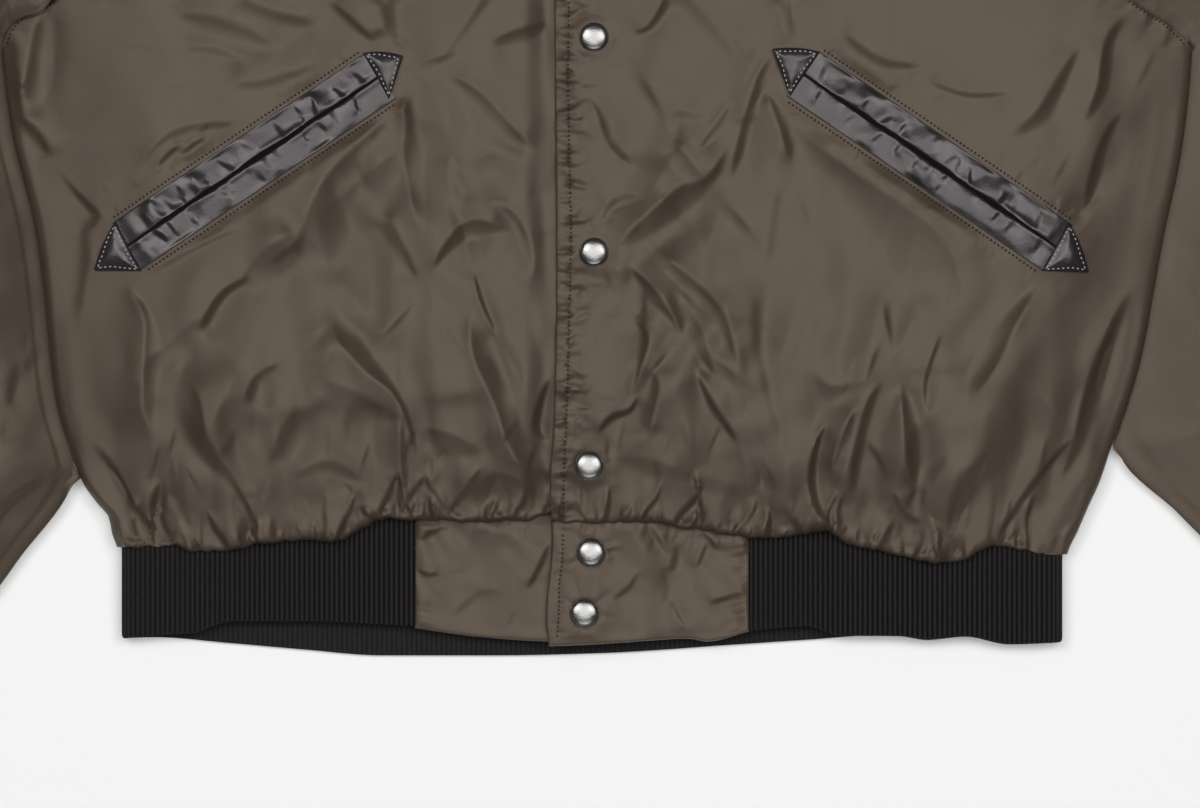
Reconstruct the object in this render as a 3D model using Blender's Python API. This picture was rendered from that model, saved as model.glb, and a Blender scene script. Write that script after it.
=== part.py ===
"""A padded nylon baseball jacket laid flat on its back, front up and snapped shut.

Every cloth piece is a thin wall between an outer and an inner surface. The tables give the garment's own
measurements in millimetres: x runs across it from the centre front, y from the lowest point of the hem to the
neck, z up from the surface it lies on. Right and left are the wearer's, so the right front has negative x.
"""

import math

import bpy
import numpy as np
from mathutils import Vector
from mathutils.bvhtree import BVHTree

MM = 0.001
ORIGIN = (6.3, 322.0)  # the garment's x and y that lie over the part's origin

# Walls and clearances
SHELL = 3.0  # padded shell, with its lining
RIB = 2.6
LEATHER = 1.4
GAP = 0.4  # between two pieces at a seam
SEWN_UNDER = 2.5  # how far the hem band reaches under the fronts
LAID_ON = 0.6  # under a piece that lies on a panel
COLLAR_GAP = 1.5
SLEEVE_GAP = 0.8

# How the garment lies
BAND_TOP = 13.0  # the front of the hem band
COLLAR_TOP = 17.0
FOLD_LEVEL = 6.0  # where front and back meet along a side or shoulder fold
FOLD_WIDTH = 20.0  # how far the front takes to roll over into a fold
UNDER_WIDTH = 12.0  # and how far the back takes
SLEEVE_TOP = 26.0  # the front where it meets the sleeve
LAP = 20.0  # each front passes the centre front by this much
LAP_DROP = SHELL + 0.6  # the right front lies this far under the left one
LAP_SLOPE = (23.0, 36.0)  # and comes up again between these distances from the centre
TAB_SLOPE = (24.0, 42.0)

# The cut
UNDERARM_Y = 316.0
SHOULDER_Y = 592.0
NECK_X, NECK_Y = 92.0, 640.0
FRONT_NECK_Y, BACK_NECK_Y = 560.0, 628.0
TAB_RIGHT_X, TAB_LEFT_X = -92.6, 82.2  # where the hem tabs are sewn to the rib
RIB_HALF = 246.0
CUFF_LENGTH, CUFF_HALF, CUFF_TOP = 62.0, 46.0, 12.6

# y, half width on the right, half width on the left: the side as far as the underarm, then the armhole
BODY_EDGE = (
    (53, 247.5, 248.5),
    (57, 248.5, 250.0),
    (64, 251.0, 253.5),
    (72, 252.5, 257.0),
    (80, 259.0, 260.5),
    (91, 266.5, 265.5),
    (109, 272.5, 271.5),
    (130, 279.0, 279.0),
    (150, 282.0, 285.0),
    (170, 284.0, 289.5),
    (190, 286.0, 293.0),
    (210, 288.5, 296.5),
    (230, 292.0, 300.5),
    (250, 297.0, 305.0),
    (270, 302.0, 308.5),
    (300, 306.5, 312.0),
    (316, 308.0, 313.0),
    (328, 304.0, 303.0),
    (341, 282.0, 283.0),
    (365, 263.0, 265.0),
    (400, 252.0, 253.0),
    (440, 247.0, 247.0),
    (490, 248.0, 248.0),
    (540, 254.0, 254.0),
    (592, 265.0, 265.0),
)
# Distance from the centre front, y: the lower edge of each front, which blouses over the rib
RIGHT_HEM = (
    (-22, 70.0), (22, 70.0), (50, 70.5), (90, 71.0), (112, 70.5), (121, 65.5), (130, 61.0), (160, 59.5),
    (176, 58.0), (188, 55.5), (208, 55.0), (220, 58.0), (249, 57.0),
)  # fmt: skip
LEFT_HEM = (
    (-24, 70.0), (22, 70.0), (50, 66.0), (82, 62.0), (96, 61.0), (120, 65.0), (136, 58.0), (160, 52.5),
    (180, 49.0), (192, 49.0), (208, 57.0), (235, 53.5), (250, 53.0),
)  # fmt: skip
# y, x: the free edge of the left front and of its hem tab
PLACKET_EDGE = ((5, -22.5), (20, -24.0), (60, -21.0), (90, -22.0), (120, -20.0), (200, -18.5), (341, -19.5), (640, -20.0))
# y, height of the front's outer surface
FRONT_HEIGHT = (
    (50, 27), (75, 30), (100, 34), (140, 35), (200, 32), (260, 30), (330, 28), (420, 26), (520, 24), (580, 21), (640, 18),
)  # fmt: skip
# x, y: lower edges of the hem band. The back of the band hangs lower than the front.
RIB_FRONT_RIGHT = ((-246, 9.0), (-225, 11.0), (-208, 12.0), (-198, 15.5), (-188, 18.0), (-150, 18.0), (-92, 15.5))
RIB_FRONT_LEFT = ((82, 13.0), (112, 15.5), (130, 10.5), (160, 10.3), (175, 8.3), (195, 10.0), (218, 6.0), (246, 7.0))
RIB_BACK = (
    (-246, 9.0), (-229, 9.5), (-190, 6.5), (-150, 3.0), (-110, 0.0), (-50, 0.0), (0, 1.0), (80, 6.0), (110, 8.0),
    (160, 11.0), (195, 11.0), (218, 8.0), (246, 7.0),
)  # fmt: skip
TAB_RIGHT_HEM = ((-93, 14.5), (-60, 10.0), (-23, 7.5), (20, 7.0))
TAB_LEFT_HEM = ((-24, 5.0), (0, 6.0), (30, 8.0), (50, 9.0), (60, 7.5), (83, 13.0))

# The largest folds of the front: x, y of the middle, heading in degrees, length, width across, height, sideways bow
LARGE_FOLDS = (
    (-128, 222, 75, 110, 20, -5.0, 8),  # the slack below the right pocket
    (-150, 205, 60, 80, 22, 3.0, 0),
    (-108, 138, 128, 110, 15, 5.0, -6),  # the long fold that breaks over the right hem
    (-212, 120, 118, 110, 17, -5.0, -6),
    (-236, 100, 125, 120, 16, 3.5, 0),
    (-40, 140, 112, 120, 17, -4.0, 0),
    (-84, 215, 95, 110, 18, 3.0, 0),
    (48, 232, 35, 90, 17, -4.5, 6),
    (62, 180, 120, 130, 17, 3.5, -6),
    (96, 190, 88, 200, 20, 4.0, 8),
    (150, 200, 118, 130, 22, -4.0, 0),
    (124, 98, 82, 90, 16, -4.5, -8),
    (168, 110, 97, 110, 17, -3.5, 0),
    (206, 120, 62, 150, 22, 4.0, 0),
    (262, 140, 66, 150, 15, -4.0, 5),
    (255, 290, 62, 120, 18, -3.0, 0),
    (-265, 300, 85, 110, 16, -3.5, 0),
    (-60, 420, 100, 150, 24, 3.0, 8),
    (120, 430, 80, 170, 24, 3.0, -8),
    (-170, 450, 70, 160, 24, -3.0, 0),
    (190, 480, 105, 150, 24, -3.0, 0),
)

# Sleeves: the inner and the outer end of each ring as it lies, the height there, how much of the armhole's curve
# is left in it and how far it bows round the underarm
RIGHT_SLEEVE = (
    # inner x, inner y, outer x, outer y, height, armhole curve, bow
    (-308.8, 316, -265.8, 592, 26, 1.00, 0),
    (-309.2, 310, -292.0, 582, 27, 0.35, 14),
    (-309.0, 302, -325.0, 552, 28, 0.15, 14),
    (-307.5, 290, -356.0, 504, 29, 0.05, 10),
    (-304.0, 273, -380.0, 446, 29, 0.00, 5),
    (-298.5, 250, -398.0, 390, 29, 0.00, 0),
    (-292.5, 222, -414.0, 334, 28, 0.00, 0),
    (-287.5, 185, -427.0, 276, 28, 0.00, 0),
    (-282.0, 142, -438.0, 222, 27, 0.00, 0),
    (-271.0, 96, -448.0, 178, 26, 0.00, 0),
    (-300.0, 50, -457.0, 140, 25, 0.00, 0),
    (-329.0, 12, -459.0, 110, 24, 0.00, 0),
    (-343.0, -2, -455.0, 86, 21, 0.00, 0),
    (-363.0, -9, -447.0, 57, 15, 0.00, 0),
)
LEFT_SLEEVE = (
    (313.8, 316, 265.8, 592, 26, 1.00, 0),
    (314.2, 310, 292.0, 582, 27, 0.35, 14),
    (314.0, 302, 325.0, 552, 28, 0.15, 14),
    (313.0, 290, 356.0, 506, 29, 0.05, 10),
    (310.5, 273, 382.0, 450, 29, 0.00, 5),
    (306.0, 250, 402.0, 394, 29, 0.00, 0),
    (300.5, 222, 419.0, 340, 28, 0.00, 0),
    (294.0, 187, 433.0, 284, 28, 0.00, 0),
    (285.0, 147, 446.0, 232, 27, 0.00, 0),
    (276.0, 108, 457.0, 194, 26, 0.00, 0),
    (307.0, 74, 467.0, 164, 25, 0.00, 0),
    (342.0, 40, 470.0, 140, 24, 0.00, 0),
    (358.0, 27, 464.0, 120, 21, 0.00, 0),
    (378.0, 20, 454.0, 93, 15, 0.00, 0),
)
# Shares of the way along the armhole, from underarm to shoulder, where panels and sleeve have points in common
ARM_TOP = (0, 0.02, 0.045, 0.09, 0.16, 0.25, 0.36, 0.48, 0.6, 0.72, 0.84, 0.93, 0.98, 1)
ARM_UNDER = (0, 0.02, 0.045, 0.09, 0.16, 0.25, 0.36, 0.55, 0.75, 0.93, 0.98, 1)
ROLL = (0.0, 1.5, 5.0, 11.0)  # distances from a folded edge that carry points

# Pockets: both slits run from near the side up towards the chest
POCKET_SLIT = ((241.0, 214.3), (111.3, 301.8))  # outer end, inner end, for the left front
WELT_WIDTH, SLIT_HALF = 12.6, 1.4
ARROW_LENGTH, ARROW_HALF = (20.5, 18.5), 14.0  # outer and inner arrow
WELT_PUFF = 1.2

# Snaps: x, y. The two lowest are on the hem tab.
SNAPS = ((-4.0, 22.5), (-0.5, 54.0), (-1.5, 99.5), (1.0, 210.5), (1.0, 322.5), (1.0, 434.0), (1.0, 545.0))
SNAP_PROFILE = ((0.0, 3.6), (2.6, 3.45), (4.8, 2.95), (6.4, 2.1), (7.3, 1.1), (7.6, 0.4), (7.2, 0.0))
SNAP_SIDES = 20

COLOURS = {
    "nylon": ((0.118, 0.092, 0.069), 0.42, 0.0),
    "rib": ((0.016, 0.014, 0.014), 0.9, 0.0),
    "leather": ((0.022, 0.021, 0.024), 0.3, 0.0),
    "nickel": ((0.72, 0.72, 0.71), 0.25, 1.0),
}


# ---------------------------------------------------------------- shared tools


def smooth(rows, column=1):
    """A curve through a table's rows that doesn't overshoot them."""
    at = np.array([row[0] for row in rows], float)
    value = np.array([row[column] for row in rows], float)
    slope = np.diff(value) / np.diff(at)
    tangent = np.concatenate([slope[:1], np.zeros(len(at) - 2), slope[-1:]])
    same_way = slope[:-1] * slope[1:] > 0
    mean = 2 * slope[:-1] * slope[1:] / np.where(same_way, slope[:-1] + slope[1:], 1)
    tangent[1:-1] = np.where(same_way, mean, 0)

    def curve(x):
        x = np.clip(x, at[0], at[-1])
        i = np.clip(np.searchsorted(at, x) - 1, 0, len(at) - 2)
        step = at[i + 1] - at[i]
        t = (x - at[i]) / step
        return (
            value[i] * (2 * t**3 - 3 * t**2 + 1)
            + value[i + 1] * (3 * t**2 - 2 * t**3)
            + step * (tangent[i] * (t**3 - 2 * t**2 + t) + tangent[i + 1] * (t**3 - t**2))
        )

    return curve


def ease(low, high, x):
    """0 below low, 1 above high, and a smooth way between."""
    t = np.clip((x - low) / (high - low), 0, 1)
    return t * t * (3 - 2 * t)


def roll(distance, width):
    """How much of its full height a cloth has at a distance from the edge that it rolls over."""
    t = np.clip(distance / width, 0, 1)
    return np.sqrt(1 - (1 - t) ** 2)


def material(name):
    colour, roughness, metallic = COLOURS[name]
    made = bpy.data.materials.get(name) or bpy.data.materials.new(name)
    made.use_nodes = True
    shader = made.node_tree.nodes["Principled BSDF"]
    shader.inputs["Base Color"].default_value = (*colour, 1)
    shader.inputs["Roughness"].default_value = roughness
    shader.inputs["Metallic"].default_value = metallic
    return made


def add_piece(name, points, faces, finish):
    """Adds one sub-part from points in the garment's millimetres, with its faces pointing out."""
    placed = (np.array(points, float) - (*ORIGIN, 0)) * MM
    corners = [(face[0], face[i], face[i + 1]) for face in faces for i in range(1, len(face) - 1)]
    a, b, c = (placed[[corner[i] for corner in corners]] for i in range(3))
    if (a * np.cross(b, c)).sum() < 0:
        faces = [face[::-1] for face in faces]
    mesh = bpy.data.meshes.new(name)
    mesh.from_pydata([tuple(p) for p in placed], [], faces)
    mesh.materials.append(material(finish))
    mesh.shade_smooth()
    mesh.set_sharp_from_angle(angle=math.radians(40))
    piece = bpy.data.objects.new(name, mesh)
    bpy.context.scene.collection.objects.link(piece)
    return piece


def wall(name, outer, inner, finish, closed=False):
    """A thin solid between two grids of points, rows by columns. closed joins the last column to the first."""
    rows, columns, _ = outer.shape
    points = np.concatenate([outer.reshape(-1, 3), inner.reshape(-1, 3)])
    under = rows * columns
    spans = columns if closed else columns - 1

    def at(row, column):
        return row * columns + column % columns

    faces = []
    for row in range(rows - 1):
        for column in range(spans):
            quad = (at(row, column), at(row, column + 1), at(row + 1, column + 1), at(row + 1, column))
            faces.append(quad)
            faces.append(tuple(under + i for i in quad[::-1]))
    for column in range(spans):
        first, last = (at(0, column), at(0, column + 1)), (at(rows - 1, column + 1), at(rows - 1, column))
        faces += [(b, a, under + a, under + b) for a, b in (first, last)]
    if not closed:
        for row in range(rows - 1):
            first, last = (at(row + 1, 0), at(row, 0)), (at(row, columns - 1), at(row + 1, columns - 1))
            faces += [(b, a, under + a, under + b) for a, b in (first, last)]
    return add_piece(name, points, faces, finish)


# ---------------------------------------------------------------- the cut's outline

EDGE_RIGHT, EDGE_LEFT = smooth(BODY_EDGE, 1), smooth(BODY_EDGE, 2)
HEIGHT = smooth(FRONT_HEIGHT)
PLACKET = smooth(PLACKET_EDGE)


def half_width(side, y):
    """Distance from the centre front to the side seam or armhole. side is -1 on the right, 1 on the left."""
    return np.where(np.asarray(side) > 0, EDGE_LEFT(y), EDGE_RIGHT(y))


def neckline(x, low):
    return low + (NECK_Y - low) * (np.abs(x) / NECK_X) ** 2.4


def top_edge(x, low):
    """The neckline, and past it the shoulder."""
    shoulder = NECK_Y - (NECK_Y - SHOULDER_Y) * (np.abs(x) - NECK_X) / (265.0 - NECK_X)
    return np.where(np.abs(x) < NECK_X, neckline(np.minimum(np.abs(x), NECK_X), low), shoulder)


def back_waist(x):
    """The lower edge of the back, sewn to the rib."""
    return 55.4 - 2.0 * x / 248.0


def side_fold_distance(side, x, y):
    """Distance from the folded side, which ends at the underarm."""
    beside = half_width(side, np.minimum(y, UNDERARM_Y)) - np.abs(x)
    return np.where(y <= UNDERARM_Y, beside, np.hypot(beside, y - UNDERARM_Y))


def shoulder_fold_distance(x, y, low):
    past_neck = (top_edge(x, low) - y) * math.cos(math.atan2(NECK_Y - SHOULDER_Y, 265.0 - NECK_X))
    return np.where(np.abs(x) > NECK_X, past_neck, np.hypot(NECK_X - np.abs(x), NECK_Y - y))


def folds(x, y):
    """Height that the largest folds add."""
    total = np.zeros(np.broadcast(x, y).shape)
    for middle_x, middle_y, heading, length, width, height, bow in LARGE_FOLDS:
        along_x, along_y = math.cos(math.radians(heading)), math.sin(math.radians(heading))
        along = ((x - middle_x) * along_x + (y - middle_y) * along_y) / (length / 2)
        across = ((y - middle_y) * along_x - (x - middle_x) * along_y) - bow * (1 - along**2)
        total += height * np.exp(-((across / width) ** 2)) * np.clip(1 - along**2, 0, 1) ** 2
    return total


def band_top(side, x):
    """Outer height of the hem band: the left tab lies over the right one."""
    over = (SHELL + GAP) * (1 - ease(*TAB_SLOPE, x)) if side > 0 else 0.0
    return BAND_TOP + over


def lap_drop(side, x):
    """How far the right front lies below the left one's outer surface."""
    return LAP_DROP * (1 - ease(*LAP_SLOPE, -x)) if side < 0 else 0.0


def front_height(side, x, y, hem, depth):
    """Height of a front at a depth in its wall."""
    depth = depth + lap_drop(side, x)
    lies = HEIGHT(y) - 2.5 * np.exp(-((x / 42) ** 2))
    at_armhole = 1 - ease(0, 34, half_width(side, y) - np.abs(x))
    lies += (SLEEVE_TOP - lies) * at_armhole * ease(UNDERARM_Y - 10, UNDERARM_Y + 15, y)
    at_neck = (1 - ease(0, 30, top_edge(x, FRONT_NECK_Y) - y)) * (np.abs(x) < NECK_X + 10)
    lies += (COLLAR_TOP - lies) * at_neck
    free = ease(14, 40, side_fold_distance(side, x, y)) * ease(8, 30, y - hem) * ease(LAP, 2 * LAP, np.abs(x))
    free *= ease(6, 30, half_width(side, y) - np.abs(x))
    lies += folds(x, y) * free * (1 - at_neck) * ease(10, 40, shoulder_fold_distance(x, y, FRONT_NECK_Y))
    lies -= depth
    side_roll = roll(side_fold_distance(side, x, y) - depth, FOLD_WIDTH)
    shoulder_roll = roll(shoulder_fold_distance(x, y, FRONT_NECK_Y) - depth, FOLD_WIDTH)
    level = FOLD_LEVEL + GAP
    lies = level + (lies - level) * np.minimum(side_roll, shoulder_roll)
    foot = np.minimum(band_top(side, x) + GAP, lies)
    return foot + (lies - foot) * roll(y - hem - depth, FOLD_WIDTH)


def front_grid(side, depth):
    """Points of one front, hem to shoulder by centre to side, at a depth in its wall."""
    hem_curve = smooth(RIGHT_HEM if side < 0 else LEFT_HEM)
    inner_stations = (LAP_SLOPE[0] - 1, LAP_SLOPE[1], 54.0)
    middle_count = 9
    grid = []
    lower = [(1, d) for d in (*ROLL, FOLD_WIDTH)] + [(2, t) for t in np.linspace(0, 1, 12)[1:-1]]
    for kind, value in lower + [(3, t) for t in ARM_TOP]:
        line = []
        for column in range(3 + 3 + middle_count + len(ROLL)):
            y = 60.0 if kind < 3 else UNDERARM_Y
            for _ in range(12):
                x = side * front_across(side, column, y, inner_stations, middle_count, depth)
                hem = float(hem_curve(side * x))
                start = hem + depth + float(lap_drop(side, x))
                reach = top_edge(x, FRONT_NECK_Y) - depth * (np.abs(x) > NECK_X)
                if kind == 1:
                    y = start + value
                elif kind == 2:
                    y = start + FOLD_WIDTH + value * (UNDERARM_Y - start - FOLD_WIDTH)
                else:
                    y = UNDERARM_Y + value * (float(reach) - UNDERARM_Y)
            line.append((x, y, float(front_height(side, x, y, hem, depth))))
        grid.append(line)
    return np.array(grid)


def front_across(side, column, y, inner_stations, middle_count, depth):
    """Distance from the centre front of a front's column at y."""
    edge = -float(PLACKET(y)) if side > 0 else LAP
    inset = depth * (1 - float(ease(UNDERARM_Y, UNDERARM_Y + 12, y)))
    outer = float(half_width(side, y)) - inset
    fixed = (-edge, 1.0, *inner_stations)
    if column < len(fixed):
        return fixed[column]
    if column <= len(fixed) + middle_count:
        share = (column - len(fixed) + 1) / (middle_count + 1)
        return fixed[-1] + share * (outer - FOLD_WIDTH - fixed[-1])
    return outer - ROLL[::-1][column - len(fixed) - middle_count - 1]


def back_grid(depth):
    """Points of the back, waist to shoulder by right side to left side. depth 0 is its underside."""
    main = np.linspace(0, 1, 16)
    under_roll = tuple(d * UNDER_WIDTH / FOLD_WIDTH for d in (*ROLL, FOLD_WIDTH))
    columns = [(-1, d) for d in under_roll[:-1]] + [(0, t) for t in main] + [(1, d) for d in under_roll[-2::-1]]
    grid = []
    for kind, value in [(1, t) for t in np.linspace(0, 1, 11)[:-1]] + [(2, t) for t in ARM_UNDER]:
        line = []
        for side, place in columns:
            y = UNDERARM_Y
            for _ in range(12):
                inset = depth * (1 - float(ease(UNDERARM_Y, UNDERARM_Y + 12, y)))
                left, right = float(EDGE_LEFT(y)) - inset, -float(EDGE_RIGHT(y)) + inset
                low, high = right + UNDER_WIDTH, left - UNDER_WIDTH
                x = {-1: right + place, 0: low + place * (high - low), 1: left - place}[side]
                reach = float(top_edge(x, BACK_NECK_Y)) - depth * (abs(x) > NECK_X)
                if kind == 1:
                    y = back_waist(x) + value * (UNDERARM_Y - back_waist(x))
                else:
                    y = UNDERARM_Y + value * (reach - UNDERARM_Y)
            which = 1 if x > 0 else -1
            near = min(
                float(side_fold_distance(which, x, y)),
                float(shoulder_fold_distance(x, y, BACK_NECK_Y)),
            )
            rise = (FOLD_LEVEL - depth) * (1 - float(roll(near - depth, UNDER_WIDTH)))
            line.append((x, y, depth + rise))
        grid.append(line)
    return np.array(grid)


# ---------------------------------------------------------------- sleeves and cuffs


def armhole_point(side, share):
    y = UNDERARM_Y + share * (SHOULDER_Y - UNDERARM_Y)
    return np.array([side * (float(half_width(side, y)) + SLEEVE_GAP), y])


def distance_to_line(point, line):
    """Distance in plan from a point to a line of points."""
    start, step = line[:-1], np.diff(line, axis=0)
    share = np.clip(((point - start) * step).sum(axis=1) / (step * step).sum(axis=1), 0, 1)
    return np.linalg.norm(point - start - share[:, None] * step, axis=1).min()


def sleeve_place(side, row, share):
    """A point of a sleeve's ring in plan, kept clear of the body."""
    inner, outer = np.array(row[:2], float), np.array(row[2:4], float)
    _, curve, bow = row[4:]
    chord = outer - inner
    aside = side * np.array([chord[1], -chord[0]]) / np.linalg.norm(chord)
    first, last = armhole_point(side, 0), armhole_point(side, 1)
    bulge = armhole_point(side, share) - (first + share * (last - first))
    x, y = inner + share * chord + curve * bulge + bow * 6.75 * share * (1 - share) ** 2 * aside
    if y > BODY_EDGE[0][0]:
        x = side * max(abs(x), float(half_width(side, min(y, SHOULDER_Y))) + SLEEVE_GAP)
    return np.array([x, y])


def sleeve_ring(side, row, table, depth):
    """One ring of a sleeve: over its top from underarm to shoulder edge, and back underneath."""
    lines = [np.array([row[i : i + 2] for row in table], float) for i in (0, 2)]
    steps = np.linspace(0, 0.2, 101)
    start = next(s for s in steps if distance_to_line(sleeve_place(side, row, s), lines[0]) >= depth)
    end = next(s for s in steps if distance_to_line(sleeve_place(side, row, 1 - s), lines[1]) >= depth)

    def spot(share, top, width):
        point = sleeve_place(side, row, share + start * (1 - share) ** 12 - end * share**12)
        near = min(distance_to_line(point, line) for line in lines)
        z = FOLD_LEVEL + (top - FOLD_LEVEL) * float(roll(near - depth, width))
        return (*point, z)

    ring = [spot(share, row[4] - depth, FOLD_WIDTH) for share in ARM_TOP]
    return ring + [spot(share, depth, UNDER_WIDTH) for share in ARM_UNDER[-2:0:-1]]


def make_sleeve(name, side, table):
    grids = [np.array([sleeve_ring(side, row, table, depth) for row in table]) for depth in (0, SHELL)]
    wall(name, *grids, "nylon", closed=True)


def cuff_ring(centre, across, depth):
    """A flattened ring of the cuff."""
    half, top = CUFF_HALF - depth, CUFF_TOP - depth
    radius = (top - depth) / 2
    level = (top + depth) / 2
    ring = []
    for middle, start in ((half - radius, -90), (-(half - radius), 90)):
        for step in range(5):
            angle = math.radians(start + 45 * step)
            aside = middle + radius * math.cos(angle)
            ring.append((*(centre + across * aside), level + radius * math.sin(angle)))
        if start < 0:
            ring.append((*centre, top))
    ring.append((*centre, depth))
    return ring


def make_cuff(name, table):
    inner, outer = (np.array(table[-1][i : i + 2], float) for i in (0, 2))
    across = (outer - inner) / np.linalg.norm(outer - inner)
    along = np.array([across[1], -across[0]])
    along *= -np.sign(along[1])
    start = (inner + outer) / 2 + along * GAP
    stations = [start + along * CUFF_LENGTH * share for share in (0, 0.5, 1)]
    grids = [np.array([cuff_ring(centre, across, depth) for centre in stations]) for depth in (0, RIB)]
    wall(name, *grids, "rib", closed=True)


# ---------------------------------------------------------------- hem band and collar


def band_grid(front_right, front_left, back, radius, edge, depth):
    """Points of a band that runs from the right front round the back to the left front.

    The first three hold the x of each stretch's stations, and the fronts' outermost ones are its folds. edge gives
    a point of the band for an x, a share of its height, where it lies (1 in front, -1 behind) and a z.
    """
    inner = radius - depth
    turn = [math.pi * step / 6 for step in range(7)]
    right_middle, left_middle = front_right[-1] + radius, front_left[0] - radius
    grid = []
    for share in (0.0, 0.33, 0.67, 1.0):

        def fold(middle, way, angles):
            return [
                edge(middle + way * inner * math.sin(a), share, math.cos(a), radius + inner * math.cos(a))
                for a in angles
            ]

        line = [edge(x, share, 1.0, 2 * radius - depth) for x in front_right[:-1]]
        line += fold(right_middle, -1, turn)
        line += [edge(x, share, -1.0, depth) for x in back]
        line += fold(left_middle, 1, turn[::-1])
        line += [edge(x, share, 1.0, 2 * radius - depth) for x in front_left[1:]]
        grid.append(line)
    return np.array(grid)


def hem_edge(x, share, where, z):
    """A point of the hem rib, whose upper edge is sewn under the fronts and against the back."""
    front_low = float(smooth(RIB_FRONT_RIGHT if x < 0 else RIB_FRONT_LEFT)(x))
    front_high = float(smooth(RIGHT_HEM)(-x) if x < 0 else smooth(LEFT_HEM)(x)) + SEWN_UNDER
    back_low, back_high = float(smooth(RIB_BACK)(x)), back_waist(x) - GAP
    in_front = max(where, 0.0)
    low = in_front * front_low + (1 - in_front) * back_low
    high = front_high if where >= 1 else back_high
    at_fold = float(ease(RIB_HALF - 14, RIB_HALF - 8, abs(x)))
    high += (min(back_high, front_high - SHELL) - high) * at_fold
    return (x, low + share * (high - low), z)


def collar_edge(x, share, where, z):
    """A point of the collar, whose upper edge leans in."""
    low_front = neckline(min(abs(x), NECK_X), FRONT_NECK_Y)
    low_back = neckline(min(abs(x), NECK_X), BACK_NECK_Y)
    mix = (1 + where) / 2
    low = mix * low_front + (1 - mix) * low_back + COLLAR_GAP
    rise = 56 - 4 * mix * (1 - abs(x) / NECK_X)
    return (x * (1 - 0.06 * share), low + share * rise, z)


def make_band(name, front_right, front_left, back, radius, edge):
    grids = [band_grid(front_right, front_left, back, radius, edge, depth) for depth in (0, RIB)]
    wall(name, *grids, "rib")


def make_hem_rib():
    front_right = [TAB_RIGHT_X - GAP, -112, -125, -145, -170, -188, -204, -220, -232, -RIB_HALF]
    front_left = [RIB_HALF, 232, 220, 206, 192, 175, 155, 136, 120, 100, TAB_LEFT_X + GAP]
    back = [-220, -190, -150, -110, -60, 0, 50, 100, 150, 195, 220]
    make_band("hem_rib", front_right, front_left, back, BAND_TOP / 2, hem_edge)


def make_collar():
    front_right = [-1, -16, -32, -46, -58, -68, -77, -NECK_X]
    front_left = [-x for x in front_right[::-1]]
    back = [-70, -46, -24, 0, 24, 46, 70]
    make_band("collar", front_right, front_left, back, COLLAR_TOP / 2, collar_edge)


def make_tab(name, side, stations, low_table):
    """A shell-cloth end of the hem band, under its front."""
    hem_curve, low_curve = smooth(RIGHT_HEM if side < 0 else LEFT_HEM), smooth(low_table)
    grids = []
    for depth in (0, SHELL):
        grid = []
        for share in (0, 0.25, 0.5, 0.75, 1):
            line = []
            for station in stations:
                x = station
                high = float(hem_curve(side * x) + lap_drop(side, x)) + SEWN_UNDER
                low = float(low_curve(x))
                y = low + share * (high - low)
                if side > 0 and station == stations[0]:
                    x = float(PLACKET(y))
                line.append((x, y, float(band_top(side, x)) - depth))
            grid.append(line)
        grids.append(np.array(grid))
    wall(name, *grids, "nylon")


# ---------------------------------------------------------------- pockets and snaps


def surface_of(piece):
    """A function that gives the height of a piece's upper surface at x, y, in the garment's millimetres."""
    tree = BVHTree.FromObject(piece, bpy.context.evaluated_depsgraph_get())

    def height(x, y):
        above = Vector(((x - ORIGIN[0]) * MM, (y - ORIGIN[1]) * MM, 1.0))
        hit = tree.ray_cast(above, Vector((0, 0, -1)))[0]
        return hit.z / MM

    return height


def make_pocket(word, side, panel):
    """The two leather welts and two arrows of one pocket."""
    height = surface_of(panel)
    outer_end, inner_end = (np.array([side * x, y]) for x, y in POCKET_SLIT)
    length = np.linalg.norm(inner_end - outer_end)
    along = (inner_end - outer_end) / length
    up = np.array([-along[1], along[0]])
    up *= np.sign(up[1])

    def laid(s, q, lift):
        x, y = outer_end + along * s + up * q
        return (x, y, height(x, y) + LAID_ON + lift)

    def patch(name, lines, puffs):
        base = np.array([[laid(s, q, puff) for (s, q), puff in zip(line, puffs)] for line in lines])
        wall(name, base + (0, 0, LEATHER), base, "leather")

    for which, sign in (("upper", 1), ("lower", -1)):
        lines = [
            [(s, sign * q) for q in (SLIT_HALF, SLIT_HALF + WELT_WIDTH / 2, SLIT_HALF + WELT_WIDTH)]
            for s in np.linspace(GAP, length - GAP, 18)
        ]
        patch(f"pocket_{word}_{which}_welt", lines, (WELT_PUFF, WELT_PUFF, 0.0))
    for which, start, heading, reach in (
        ("outer", 0.0, -1, ARROW_LENGTH[0]),
        ("inner", length, 1, ARROW_LENGTH[1]),
    ):
        lines = [
            [(start + heading * share * reach, q * ARROW_HALF * (1 - 0.94 * share)) for q in (-1, -0.33, 0.33, 1)]
            for share in (0.0, 0.33, 0.67, 1.0)
        ]
        patch(f"pocket_{word}_{which}_arrow", lines, (0.0, 0.5, 0.5, 0.0))


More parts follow.
